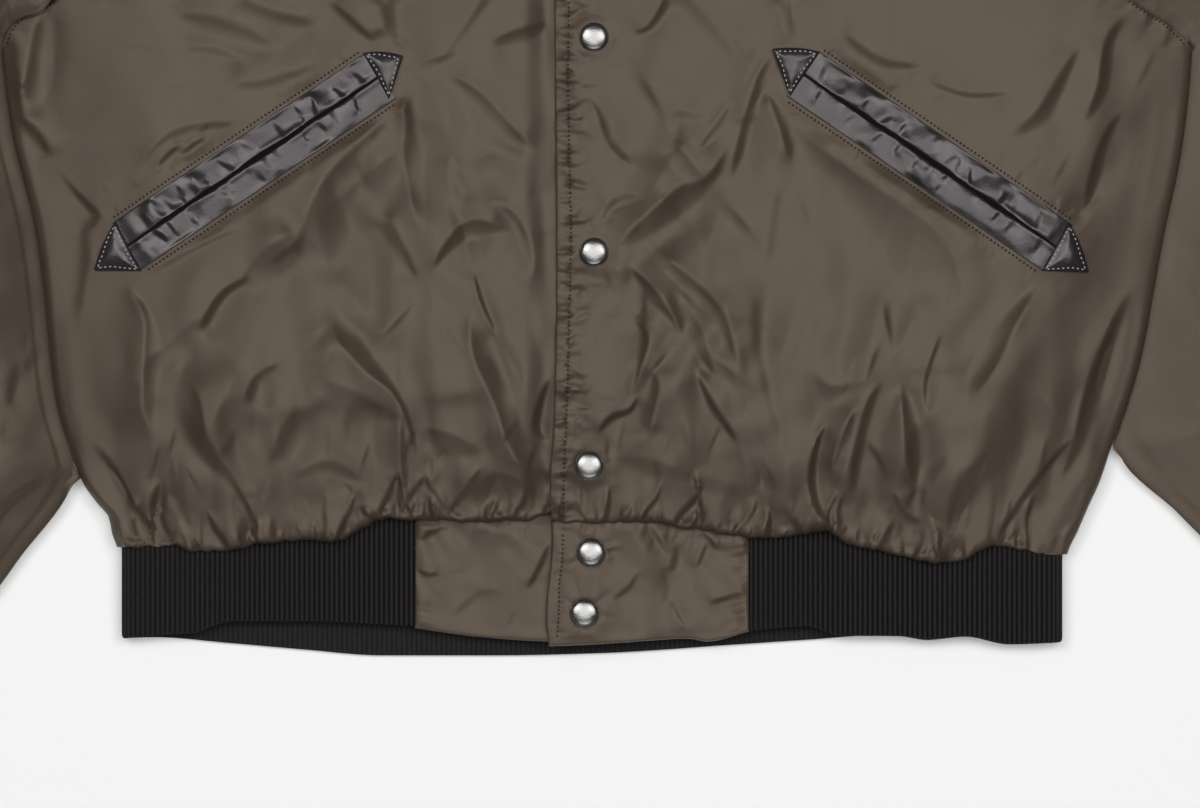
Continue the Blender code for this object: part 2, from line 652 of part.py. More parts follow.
def make_snap(number, x, y, panels):
    """A domed snap cap that sits on the left front or its tab."""
    radius = max(r for r, _ in SNAP_PROFILE)
    ring = [(x + radius * math.cos(a), y + radius * math.sin(a)) for a in np.linspace(0, 2 * math.pi, 12)]
    base = max(panel(px, py) for panel in panels for px, py in [(x, y), *ring]) + LAID_ON
    points = [(x, y, base + SNAP_PROFILE[0][1])]
    for r, z in SNAP_PROFILE[1:]:
        for step in range(SNAP_SIDES):
            angle = 2 * math.pi * step / SNAP_SIDES
            points.append((x + r * math.cos(angle), y + r * math.sin(angle), base + z))
    last = len(SNAP_PROFILE) - 2

    def at(ring_number, step):
        return 1 + ring_number * SNAP_SIDES + step % SNAP_SIDES

    faces = [(0, at(0, step), at(0, step + 1)) for step in range(SNAP_SIDES)]
    for ring_number in range(last):
        for step in range(SNAP_SIDES):
            upper = (at(ring_number, step + 1), at(ring_number, step))
            faces.append((*upper, at(ring_number + 1, step), at(ring_number + 1, step + 1)))
    faces.append(tuple(at(last, step) for step in range(SNAP_SIDES))[::-1])
    add_piece(f"snap_{number}", points, faces, "nickel")


def main():
    for old in list(bpy.data.objects):
        bpy.data.objects.remove(old)
    wall("back", back_grid(0), back_grid(SHELL), "nylon")
    right = wall("front_right", front_grid(-1, 0), front_grid(-1, SHELL), "nylon")
    left = wall("front_left", front_grid(1, 0), front_grid(1, SHELL), "nylon")
    make_sleeve("sleeve_right", -1, RIGHT_SLEEVE)
    make_sleeve("sleeve_left", 1, LEFT_SLEEVE)
    make_cuff("cuff_right", RIGHT_SLEEVE)
    make_cuff("cuff_left", LEFT_SLEEVE)
    make_hem_rib()
    make_tab("hem_tab_right", -1, (TAB_RIGHT_X, -75, -55, -38, -24, 0, LAP), TAB_RIGHT_HEM)
    make_tab("hem_tab_left", 1, (-22.0, 0, 23, 33, 42, 55, 68, TAB_LEFT_X), TAB_LEFT_HEM)
    make_collar()
    make_pocket("right", -1, right)
    make_pocket("left", 1, left)
    left_tab = surface_of(bpy.data.objects["hem_tab_left"])
    left_front = surface_of(left)
    for number, (x, y) in enumerate(SNAPS, 1):
        make_snap(number, x, y, [left_tab if number < 3 else left_front])


main()
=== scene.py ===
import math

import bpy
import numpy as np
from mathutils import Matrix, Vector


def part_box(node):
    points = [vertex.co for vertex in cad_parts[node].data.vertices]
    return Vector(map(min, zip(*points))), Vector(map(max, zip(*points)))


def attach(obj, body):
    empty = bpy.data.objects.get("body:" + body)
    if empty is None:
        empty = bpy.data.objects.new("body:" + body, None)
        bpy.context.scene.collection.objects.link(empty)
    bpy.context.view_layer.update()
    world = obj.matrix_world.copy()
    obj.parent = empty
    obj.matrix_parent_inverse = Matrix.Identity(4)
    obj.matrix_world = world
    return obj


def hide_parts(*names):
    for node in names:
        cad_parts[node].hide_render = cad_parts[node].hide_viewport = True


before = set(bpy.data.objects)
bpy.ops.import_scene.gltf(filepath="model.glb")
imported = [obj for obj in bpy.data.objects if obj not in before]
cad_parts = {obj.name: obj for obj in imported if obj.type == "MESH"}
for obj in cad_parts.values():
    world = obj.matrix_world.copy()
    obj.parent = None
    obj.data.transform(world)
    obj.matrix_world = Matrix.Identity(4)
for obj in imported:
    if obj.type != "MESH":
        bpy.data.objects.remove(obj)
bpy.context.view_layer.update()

# A padded nylon baseball jacket laid flat on its back. Measures are the garment's own, in millimetres:
# x across it from the centre front, y up from the lowest point of the hem, z up from the surface it lies on.
# Right and left are the wearer's, so the right front has negative x.

MM = 0.001
ORIGIN = (6.3, 322.0)  # the garment's x and y that lie over the frame's origin

# Walls and clearances
SHELL, RIB = 3.0, 2.6
GAP, SLEEVE_GAP, COLLAR_GAP = 0.4, 0.15, 1.5
SEWN_UNDER = 2.5  # how far the hem band reaches under the fronts

# How the garment lies
BAND_TOP, COLLAR_TOP = 13.0, 17.0
FOLD_LEVEL = 6.0  # where front and back meet along a side or shoulder fold
FOLD_WIDTH, UNDER_WIDTH = 20.0, 12.0
SLEEVE_TOP = 26.0
LAP = 20.0
LAP_DROP = SHELL + 0.6
LAP_SLOPE, TAB_SLOPE = (23.0, 36.0), (24.0, 42.0)

# The cut
UNDERARM_Y, SHOULDER_Y = 316.0, 592.0
SHOULDER_X = 265.0
NECK_X, NECK_Y = 92.0, 640.0
FRONT_NECK_Y, BACK_NECK_Y = 560.0, 628.0
TAB_RIGHT_X, TAB_LEFT_X = -92.6, 82.2
RIB_HALF = 246.0
BACK_WAIST_Y, WAIST_DROP, WAIST_REACH = 55.4, 2.0, 248.0  # in the middle, and its drop over a reach in x
CUFF_LENGTH, CUFF_HALF, CUFF_TOP = 62.0, 46.0, 12.6
COLLAR_HIGH = 56

# y, half width on the right, half width on the left
BODY_EDGE = (
    (53, 247.5, 248.5), (57, 248.5, 250.0), (64, 251.0, 253.5), (72, 252.5, 257.0), (80, 259.0, 260.5),
    (91, 266.5, 265.5), (109, 272.5, 271.5), (130, 279.0, 279.0), (150, 282.0, 285.0), (170, 284.0, 289.5),
    (190, 286.0, 293.0), (210, 288.5, 296.5), (230, 292.0, 300.5), (250, 297.0, 305.0), (270, 302.0, 308.5),
    (300, 306.5, 312.0), (316, 308.0, 313.0), (328, 304.0, 303.0), (341, 282.0, 283.0), (365, 263.0, 265.0),
    (400, 252.0, 253.0), (440, 247.0, 247.0), (490, 248.0, 248.0), (540, 254.0, 254.0), (592, 265.0, 265.0),
)  # fmt: skip
# Distance from the centre front, y: the lower edge of each front
RIGHT_HEM = (
    (-22, 70.0), (22, 70.0), (50, 70.5), (90, 71.0), (112, 70.5), (121, 65.5), (130, 61.0), (160, 59.5),
    (176, 58.0), (188, 55.5), (208, 55.0), (220, 58.0), (249, 57.0),
)  # fmt: skip
LEFT_HEM = (
    (-24, 70.0), (22, 70.0), (50, 66.0), (82, 62.0), (96, 61.0), (120, 65.0), (136, 58.0), (160, 52.5),
    (180, 49.0), (192, 49.0), (208, 57.0), (235, 53.5), (250, 53.0),
)  # fmt: skip
# y, x: the left front's edge, and the stitches along it
PLACKET_EDGE = (
    (5, -22.5), (20, -24.0), (60, -21.0), (90, -22.0), (120, -20.0), (200, -18.5), (341, -19.5),
    (640, -20.0),
)  # fmt: skip
PLACKET_STITCH = (
    (7, -18.5), (20, -17.5), (38, -17.0), (50, -15.5), (80, -15.0), (110, -14.0), (130, -13.0), (170, -12.0),
    (215, -11.0), (270, -12.0), (300, -12.5), (340, -12.0), (560, -12.5),
)  # fmt: skip
# y, how high a front lies
FRONT_HEIGHT = (
    (50, 27), (75, 30), (100, 34), (140, 35), (200, 32), (260, 30), (330, 28), (420, 26), (520, 24),
    (580, 21), (640, 18),
)  # fmt: skip
# x, y: the lower edges of the hem rib and of the tabs
RIB_FRONT_RIGHT = (
    (-246, 9.0), (-225, 11.0), (-208, 12.0), (-198, 15.5), (-188, 18.0), (-150, 18.0), (-92, 15.5),
)  # fmt: skip
RIB_FRONT_LEFT = (
    (82, 13.0), (112, 15.5), (130, 10.5), (160, 10.3), (175, 8.3), (195, 10.0), (218, 6.0), (246, 7.0),
)  # fmt: skip
RIB_BACK = (
    (-246, 9.0), (-229, 9.5), (-190, 6.5), (-150, 3.0), (-110, 0.0), (-50, 0.0), (0, 1.0), (80, 6.0),
    (110, 8.0), (160, 11.0), (195, 11.0), (218, 8.0), (246, 7.0),
)  # fmt: skip
TAB_RIGHT_HEM = ((-93, 14.5), (-60, 10.0), (-23, 7.5), (20, 7.0))
TAB_LEFT_HEM = ((-24, 5.0), (0, 6.0), (30, 8.0), (50, 9.0), (60, 7.5), (83, 13.0))

# Sleeves: inner x, inner y, outer x, outer y, height, share of the armhole's curve, bow round the underarm
RIGHT_SLEEVE = (
    (-308.8, 316, -265.8, 592, 26, 1.00, 0), (-309.2, 310, -292.0, 582, 27, 0.35, 14),
    (-309.0, 302, -325.0, 552, 28, 0.15, 14), (-307.5, 290, -356.0, 504, 29, 0.05, 10),
    (-304.0, 273, -380.0, 446, 29, 0.00, 5), (-298.5, 250, -398.0, 390, 29, 0.00, 0),
    (-292.5, 222, -414.0, 334, 28, 0.00, 0), (-287.5, 185, -427.0, 276, 28, 0.00, 0),
    (-282.0, 142, -438.0, 222, 27, 0.00, 0), (-271.0, 96, -448.0, 178, 26, 0.00, 0),
    (-300.0, 50, -457.0, 140, 25, 0.00, 0), (-329.0, 12, -459.0, 110, 24, 0.00, 0),
    (-343.0, -2, -455.0, 86, 21, 0.00, 0), (-363.0, -9, -447.0, 57, 15, 0.00, 0),
)  # fmt: skip
LEFT_SLEEVE = (
    (313.8, 316, 265.8, 592, 26, 1.00, 0), (314.2, 310, 292.0, 582, 27, 0.35, 14),
    (314.0, 302, 325.0, 552, 28, 0.15, 14), (313.0, 290, 356.0, 506, 29, 0.05, 10),
    (310.5, 273, 382.0, 450, 29, 0.00, 5), (306.0, 250, 402.0, 394, 29, 0.00, 0),
    (300.5, 222, 419.0, 340, 28, 0.00, 0), (294.0, 187, 433.0, 284, 28, 0.00, 0),
    (285.0, 147, 446.0, 232, 27, 0.00, 0), (276.0, 108, 457.0, 194, 26, 0.00, 0),
    (307.0, 74, 467.0, 164, 25, 0.00, 0), (342.0, 40, 470.0, 140, 24, 0.00, 0),
    (358.0, 27, 464.0, 120, 21, 0.00, 0), (378.0, 20, 454.0, 93, 15, 0.00, 0),
)  # fmt: skip

# Pockets: the slit's outer and inner end, the welts beside it, and the corners of the arrow at each end
POCKETS = {
    "right": {
        "side": -1,
        "slit": ((-240.5, 214.8), (-111.5, 301.2)),
        "outer_arrow": ((-234.5, 201.0), (-248.0, 226.5), (-259.0, 201.5)),
        "inner_arrow": ((-105.5, 290.0), (-119.0, 314.0), (-98.5, 312.5)),
    },
    "left": {
        "side": 1,
        "slit": ((240.5, 214.0), (111.0, 302.5)),
        "outer_arrow": ((234.0, 201.0), (248.0, 226.0), (258.5, 200.5)),
        "inner_arrow": ((103.0, 291.5), (118.5, 314.5), (94.0, 316.0)),
    },
}
WELT_WIDTH, SLIT_HALF, POCKET_HALF = 12.6, 1.4, 14

SNAPS = ((-4.0, 22.5), (-0.5, 54.0), (-1.5, 99.5), (1.0, 210.5), (1.0, 322.5), (1.0, 434.0), (1.0, 545.0))
SNAPS_ON_TAB = 2

# Stitches: from one to the next, and how high over the cloth; the armholes' begin with how far in they are
STITCH_PITCH, STITCH_LIFT = 2.3, 0.45
ARMHOLE_IN, ARMHOLE_PITCH, ARMHOLE_LIFT = 2.2, 2.4, 0.4
SEAM_FOOT = 72  # the y at which the front edge's puckers and stitches begin

# Creases. Each is how far the cloth falls across it at its widest, how softly its edges turn, and places
# along it: x, y, width. The cloth falls towards the right of the way it runs.
RIGHT_CREASES = (
    (2.0, 0.4, (-227, 254, 1), (-219, 262, 3), (-212, 267, 1)),
    (2.0, 0.5, (-215, 260, 1), (-207, 266, 3), (-199, 271, 1)),
    # by the side and the outer end of the pocket
    (6.0, 1.0, (-303, 284, 5), (-295, 289, 12), (-289, 302, 14), (-286, 325, 11), (-284, 343, 4)),
    (4.5, 0.7, (-306, 279, 6), (-296, 275, 10), (-288, 268, 7), (-282, 259, 1)),
    (3.0, 2.5, (-222, 335, 3), (-200, 329, 10), (-178, 322, 9), (-161, 314, 4)),
    (1.5, 1.5, (-216, 316, 2), (-198, 315, 5), (-178, 309, 1)),
    (2.6, 1.0, (-190, 343, 8), (-168, 333, 8), (-140, 328, 5)),
    (1.8, 0.8, (-238, 252, 2), (-222, 268, 5), (-205, 275, 5), (-182, 277, 2)),
    (1.8, 1.8, (-252, 238, 3), (-261, 227, 7), (-266, 205, 8), (-270, 170, 3)),
    (1.3, 0.6, (-232, 198, 1.5), (-206, 212, 3), (-180, 224, 1.5)),
    (1.6, 2.0, (-192, 297, 4), (-168, 298, 6), (-138, 310, 3)),
    # the slack under the pocket
    (6.5, 1.6, (-152, 190, 20), (-141, 212, 27), (-132, 240, 22), (-120, 263, 9), (-100, 285, 2)),
    (3.6, 1.2, (-184, 188, 8), (-165, 205, 18), (-146, 220, 10)),
    (3.6, 1.0, (-86, 216, 3), (-90, 238, 8), (-93, 262, 10), (-94, 288, 7), (-98, 309, 2)),
    (3.0, 1.2, (-112, 232, 9), (-102, 215, 8), (-89, 193, 2)),
    (4.0, 0.8, (-84, 198, 2), (-76, 211, 5), (-62, 222, 10), (-42, 221, 2)),
    # above the pocket
    (2.6, 0.6, (-138, 342, 2), (-124, 329, 5), (-110, 317, 1)),
    (3.2, 0.8, (-101, 314, 2), (-104, 329, 8), (-106, 345, 12)),
    # between the pocket and the placket
    (2.2, 0.8, (-54, 238, 1), (-42, 229, 5), (-34, 214, 5), (-32, 195, 4)),
    (3.2, 1.0, (-78, 305, 2), (-60, 291, 7), (-44, 273, 9), (-28, 262, 2)),
    (2.4, 3.0, (-62, 262, 8), (-40, 252, 13), (-20, 237, 7)),
    (1.8, 1.5, (-66, 234, 4), (-71, 248, 6), (-73, 262, 2)),
    (2.6, 0.6, (-54, 318, 3), (-38, 323, 8), (-20, 330, 2)),
    # down the side and over the hem
    (2.6, 0.5, (-262, 113, 2), (-250, 97, 4), (-236, 74, 3), (-220, 58, 2)),
    (4.2, 1.0, (-226, 113, 1), (-230, 130, 7), (-228, 156, 10), (-231, 178, 5), (-243, 196, 2)),
    (5.0, 1.0, (-222, 153, 3), (-212, 137, 14), (-205, 112, 13), (-188, 92, 5), (-171, 60, 3)),
    (3.0, 0.7, (-204, 167, 5), (-192, 187, 5), (-176, 198, 3)),
    (2.0, 0.5, (-222, 86, 2), (-225, 72, 4), (-218, 58, 1)),
    (2.0, 0.8, (-179, 130, 4), (-173, 144, 6), (-161, 153, 2)),
    (1.6, 1.5, (-168, 97, 4), (-160, 116, 6), (-150, 132, 3)),
    # the long fold that breaks over the hem, and what runs into it
    (5.5, 0.6, (-91, 101, 2), (-94, 120, 3), (-102, 138, 4), (-116, 153, 9), (-127, 168, 12), (-133, 180, 6)),
    (3.0, 0.6, (-96, 78, 2), (-97, 100, 5), (-99, 128, 1)),
    (3.4, 0.8, (-90, 118, 4), (-74, 110, 12), (-56, 104, 4)),
    (3.0, 0.4, (-112, 71, 2), (-105, 86, 3), (-100, 98, 2)),
    (3.2, 0.4, (-100, 71, 2), (-95, 82, 3), (-86, 95, 2)),
    (2.6, 0.6, (-76, 71, 3), (-66, 86, 4), (-56, 99, 2)),
    (4.0, 0.8, (-68, 78, 7), (-50, 88, 15), (-30, 84, 8)),
    (6.5, 1.0, (-30, 90, 1), (-38, 110, 10), (-46, 134, 11), (-56, 160, 13), (-61, 186, 4)),
    (2.6, 0.4, (-48, 166, 2), (-56, 183, 3), (-62, 203, 1)),
    (3.0, 0.5, (-20, 110, 1), (-28, 118, 4), (-27, 130, 4), (-20, 148, 2)),
    (2.8, 2.5, (-162, 98, 6), (-152, 117, 12), (-131, 136, 10)),
    (2.0, 2.5, (-131, 126, 10), (-116, 127, 12), (-100, 129, 7)),
    (1.6, 1.2, (-156, 92, 3), (-138, 99, 6), (-117, 90, 3)),
    # above the snaps' second row
    (4.0, 1.5, (-30, 372, 4), (-84, 420, 11), (-100, 486, 3)),
    (3.0, 1.5, (-150, 360, 4), (-152, 430, 9), (-184, 488, 2)),
    (4.2, 1.0, (-262, 366, 3), (-214, 400, 10), (-190, 462, 3)),
    (3.0, 1.2, (-34, 460, 3), (-66, 492, 8), (-78, 532, 3)),
    (2.6, 1.5, (-236, 560, 3), (-194, 533, 8), (-150, 532, 3)),
)  # fmt: skip
LEFT_CREASES = (
    # round the upper snap
    (3.0, 0.6, (20, 324, 2), (31, 328, 4), (42, 345, 6)),
    (2.6, 0.8, (24, 254, 3), (12, 267, 7), (4, 284, 4), (-2, 293, 1)),
    # from the inner end of the pocket
    (2.8, 1.0, (72, 246, 2), (80, 272, 6), (87, 296, 6), (94, 316, 2)),
    (1.8, 1.0, (54, 262, 2), (66, 276, 5), (74, 290, 2)),
    (1.6, 1.5, (43, 268, 2), (44, 281, 6), (60, 279, 3)),
    (3.4, 0.7, (41, 269, 3), (47, 256, 11), (57, 246, 4)),
    (5.4, 1.2, (10, 209, 3), (28, 223, 10), (48, 238, 13), (62, 248, 6), (73, 268, 2)),
    (1.6, 1.2, (4, 224, 2), (12, 236, 5), (28, 240, 3)),
    (2.8, 0.8, (99, 345, 8), (101, 333, 7), (106, 318, 3)),
    (2.8, 1.2, (105, 256, 2), (101, 273, 6), (94, 290, 4), (90, 296, 1)),
    (1.6, 2.0, (93, 203, 6), (96, 226, 8), (98, 246, 4)),
    # the slack under the pocket
    (6.0, 1.4, (100, 281, 2), (120, 257, 12), (150, 232, 19), (172, 207, 31), (192, 180, 4)),
    # under the second snap
    (4.0, 1.0, (30, 212, 3), (46, 197, 8), (64, 180, 8), (72, 160, 5), (77, 145, 2)),
    (3.4, 0.6, (17, 205, 2), (32, 188, 6), (45, 171, 2)),
    (3.2, 0.5, (19, 179, 2), (27, 167, 5), (24, 150, 3), (20, 135, 1)),
    (3.2, 1.2, (23, 186, 8), (34, 177, 13), (46, 167, 4)),
    (3.4, 0.8, (30, 153, 2), (32, 140, 6), (28, 122, 7), (30, 113, 2)),
    (3.4, 0.4, (2, 115, 1), (10, 124, 3), (20, 128, 3), (25, 137, 1)),
    (3.6, 0.5, (53, 150, 2), (62, 131, 4), (77, 110, 2)),
    (2.8, 1.0, (42, 192, 3), (52, 172, 8), (60, 152, 5), (63, 143, 1)),
    (2.2, 2.5, (101, 100, 2), (94, 128, 5), (88, 158, 7), (86, 195, 8)),
    (2.0, 1.8, (76, 110, 4), (78, 90, 8), (81, 70, 3)),
    (2.0, 2.5, (94, 108, 6), (94, 90, 16), (92, 68, 7)),
    (1.8, 2.0, (9, 101, 6), (26, 99, 9), (48, 93, 6)),
    (2.6, 0.5, (52, 98, 3), (55, 84, 3), (58, 67, 2)),
    (5.5, 0.5, (126, 65, 2), (118, 78, 5), (115, 94, 5), (118, 112, 3), (124, 124, 1)),
    (2.4, 0.4, (130, 63, 1.5), (123, 72, 2.5), (129, 87, 1)),
    # between the pocket and the hem
    (5.5, 0.9, (169, 87, 2), (167, 104, 8), (165, 126, 8), (161, 144, 2)),
    (1.8, 0.6, (174, 124, 1), (174, 144, 3), (182, 170, 1)),
    (4.4, 1.2, (233, 197, 3), (217, 175, 8), (205, 155, 13), (194, 131, 4)),
    (5.8, 1.0, (243, 86, 2), (253, 108, 6), (262, 140, 9), (274, 170, 9), (284, 196, 2)),
    (3.0, 0.5, (210, 58, 1), (222, 78, 3), (240, 102, 3), (253, 115, 1)),
    (1.8, 1.2, (185, 61, 2), (190, 84, 4), (208, 109, 2)),
    (3.0, 0.7, (125, 94, 2), (131, 112, 5), (138, 131, 2)),
    (3.2, 0.8, (135, 82, 3), (138, 102, 6), (145, 131, 5), (152, 144, 2)),
    (3.0, 0.5, (156, 87, 2), (162, 74, 6), (174, 68, 1)),
    (2.0, 1.5, (111, 151, 2), (124, 137, 9), (149, 142, 7)),
    # above the pocket and by the side
    (2.2, 1.2, (127, 326, 5), (148, 310, 6), (175, 306, 2)),
    (1.5, 0.8, (172, 300, 2), (195, 292, 3), (220, 293, 2)),
    (2.8, 1.5, (217, 269, 4), (236, 284, 8), (256, 321, 2)),
    (3.2, 0.8, (256, 276, 2), (266, 296, 6), (270, 320, 5), (280, 336, 1)),
    (3.2, 0.8, (257, 231, 2), (262, 250, 6), (268, 270, 4), (277, 285, 1)),
    # above the snaps' second row
    (4.0, 1.5, (104, 492, 3), (86, 424, 11), (34, 374, 4)),
    (3.0, 1.5, (182, 492, 2), (156, 430, 9), (156, 362, 4)),
    (4.2, 1.0, (188, 466, 3), (214, 402, 10), (264, 368, 3)),
    (3.0, 1.2, (82, 536, 3), (70, 496, 8), (34, 466, 3)),
    (2.6, 1.5, (152, 536, 3), (198, 536, 8), (238, 564, 3)),
)  # fmt: skip
CREASES = {-1: RIGHT_CREASES, 1: LEFT_CREASES}
TAB_CREASES = (
    (1.8, 0.5, (-93, 46, 2), (-87, 42, 3), (-79, 43, 1)),
    (2.6, 0.5, (-34, 34, 2), (-25, 50, 4), (-22, 61, 1)),
    (1.8, 0.6, (-91, 60, 2), (-82, 65, 3), (-74, 67, 1)),
    (1.2, 1.2, (-74, 19, 3), (-60, 30, 6), (-46, 34, 3)),
    (2.0, 0.4, (30, 69, 1), (34, 61, 3), (40, 52, 1)),
    (2.2, 0.4, (56, 66, 1), (62, 60, 3), (66, 54, 1)),
    (1.8, 0.5, (55, 45, 2), (58, 53, 3), (61, 60, 1)),
    (1.6, 0.8, (42, 43, 4), (44, 52, 4), (44, 60, 1)),
    (1.6, 0.5, (50, 14, 1), (45, 22, 3), (42, 30, 1)),
    (1.6, 0.6, (60, 27, 2), (71, 30, 3), (83, 34, 1)),
    (1.4, 0.6, (10, 29, 2), (20, 36, 3), (25, 46, 1)),
)  # fmt: skip
SLEEVE_CREASES = (
    # the right sleeve
    (2.0, 0.5, (-297, 150, 3), (-291, 155, 4), (-286, 159, 2)),
    (2.2, 0.8, (-304, 130, 3), (-302, 140, 4), (-299, 152, 2)),
    (3.6, 0.4, (-316, 64, 2), (-303, 80, 3), (-290, 89, 3), (-283, 88, 1)),
    (4.5, 1.0, (-316, 250, 3), (-340, 267, 9), (-376, 276, 4)),
    (3.0, 1.4, (-304, 190, 3), (-338, 200, 12), (-372, 226, 2)),
    (3.8, 0.9, (-330, 128, 2), (-372, 146, 8), (-424, 196, 4), (-436, 214, 2)),
    (2.4, 1.2, (-346, 60, 2), (-380, 74, 7), (-408, 98, 3)),
    (3.5, 1.0, (-320, 330, 3), (-342, 378, 9), (-340, 436, 4)),
    (2.2, 1.2, (-300, 402, 3), (-314, 442, 6), (-312, 470, 3)),
    # the left sleeve
    (4.0, 0.8, (296, 226, 4), (308, 219, 11), (325, 204, 5)),
    (2.2, 0.6, (311, 197, 2), (315, 188, 4), (323, 179, 2)),
    (3.0, 1.2, (275, 120, 4), (286, 109, 8), (297, 96, 2)),
    (2.4, 1.8, (286, 129, 6), (304, 127, 10), (324, 125, 5)),
    (1.6, 0.5, (300, 86, 2), (309, 80, 3), (319, 75, 1)),
    (4.5, 1.0, (378, 292, 4), (342, 280, 10), (318, 258, 3)),
    (3.2, 1.2, (410, 250, 3), (378, 224, 9), (346, 214, 6), (330, 210, 2)),
    (3.6, 1.0, (404, 190, 3), (362, 158, 9), (320, 140, 3)),
    (2.4, 1.2, (440, 140, 2), (412, 112, 7), (386, 98, 2)),
    (3.0, 1.0, (344, 440, 4), (346, 390, 8), (330, 350, 3)),
    (2.2, 1.2, (384, 404, 2), (380, 358, 6), (366, 318, 2)),
)  # fmt: skip


# ---------------------------------------------------------------- shape tools


def smooth(rows, column=1):
    """A curve through a table's rows that doesn't overshoot them."""
    at = np.array([row[0] for row in rows], float)
    value = np.array([row[column] for row in rows], float)
    slope = np.diff(value) / np.diff(at)
    tangent = np.concatenate([slope[:1], np.zeros(len(at) - 2), slope[-1:]])
    same_way = slope[:-1] * slope[1:] > 0
    mean = 2 * slope[:-1] * slope[1:] / np.where(same_way, slope[:-1] + slope[1:], 1)
    tangent[1:-1] = np.where(same_way, mean, 0)

    def curve(x):
        x = np.clip(x, at[0], at[-1])
        i = np.clip(np.searchsorted(at, x) - 1, 0, len(at) - 2)
        step = at[i + 1] - at[i]
        t = (x - at[i]) / step
        return (
            value[i] * (2 * t**3 - 3 * t**2 + 1)
            + value[i + 1] * (3 * t**2 - 2 * t**3)
            + step * (tangent[i] * (t**3 - 2 * t**2 + t) + tangent[i + 1] * (t**3 - t**2))
        )

    return curve


def ease(low, high, x):
    """0 below low, 1 above high, and a smooth way between."""
    t = np.clip((x - low) / (high - low), 0, 1)
    return t * t * (3 - 2 * t)


def roll(distance, width):
    """How much of its full height a cloth has at a distance from the edge that it rolls over."""
    t = np.clip(distance / width, 0, 1)
    return np.sqrt(1 - (1 - t) ** 2)


def spline(points, spacing):
    """Samples of a smooth curve through points; any columns past x and y go along."""
    points = np.array(points, float)
    ends = [2 * points[0] - points[1]], [2 * points[-1] - points[-2]]
    p = np.concatenate([ends[0], points, ends[1]])
    made = []
    for i in range(1, len(p) - 2):
        count = max(2, int(np.linalg.norm(p[i + 1, :2] - p[i, :2]) / spacing) + 1)
        t = np.linspace(0, 1, count, endpoint=False)[:, None]
        a, b, c, d = p[i - 1 : i + 3]
        cubic = (3 * b - a - 3 * c + d) * t**3
        made.append(0.5 * (2 * b + (c - a) * t + (2 * a - 5 * b + 4 * c - d) * t**2 + cubic))
    return np.concatenate([*made, points[-1:]])


def path_distance(x, y, line):
    """Distance in plan from each x, y to a line of points."""
    best = np.full(x.shape, np.inf)
    for (ax, ay), (bx, by) in zip(line[:-1, :2], line[1:, :2]):
        length = math.hypot(bx - ax, by - ay)
        t = np.clip(((x - ax) * (bx - ax) + (y - ay) * (by - ay)) / length**2, 0, 1)
        best = np.minimum(best, np.hypot(x - ax - t * (bx - ax), y - ay - t * (by - ay)))
    return best


def drift(x, y, size, seed):
    """Smooth random unevenness between about -1 and 1, with features of a given size."""
    angle = np.random.default_rng(seed).uniform(0, 2 * math.pi, (97, 97))
    u, v = np.asarray(x) / size + 31.7, np.asarray(y) / size + 17.3
    i, j = np.floor(u).astype(int), np.floor(v).astype(int)
    fu, fv = u - i, v - j

    def corner(a, b):
        turn = angle[(i + a) % 97, (j + b) % 97]
        return np.cos(turn) * (fu - a) + np.sin(turn) * (fv - b)

    su, sv = (f**3 * (6 * f**2 - 15 * f + 10) for f in (fu, fv))
    low = corner(0, 0) * (1 - su) + corner(1, 0) * su
    high = corner(0, 1) * (1 - su) + corner(1, 1) * su
    return 1.5 * (low * (1 - sv) + high * sv)


def ramp(share):
    """A slope from 0 to 1 that starts softly and is straight from halfway."""
    share = np.clip(share, 0, 1)
    return np.where(share < 0.5, share**2, share - 0.25) / 0.75


def fall_across(away, width, fall, softness, tail):
    """Height across a crease: a gentle rise to a ridge, the fall, and a slow recovery from the valley."""
    before_ridge, after_valley = tail * (16 + 1.9 * width), tail * (13 + 1.6 * width)
    ridge, valley = 0.55 * fall, 0.45 * fall
    total = 0.0
    for shift in (-1.0, -0.5, 0.0, 0.5, 1.0):
        e = away + shift * softness
        rise = ridge * ramp(1 + np.minimum(e + width / 2, 0) / before_ridge)
        across = fall * (1 - np.clip((width / 2 - e) / width, 0, 1) ** 1.7)
        back = valley * (1 - ramp(1 - np.maximum(e - width / 2, 0) / after_valley))
        total = total + (rise - across + back) / 5
    return total


DEEPER, CRISPER = 1.3, 0.75  # how much deeper and crisper a satin cloth's creases are than their rows say


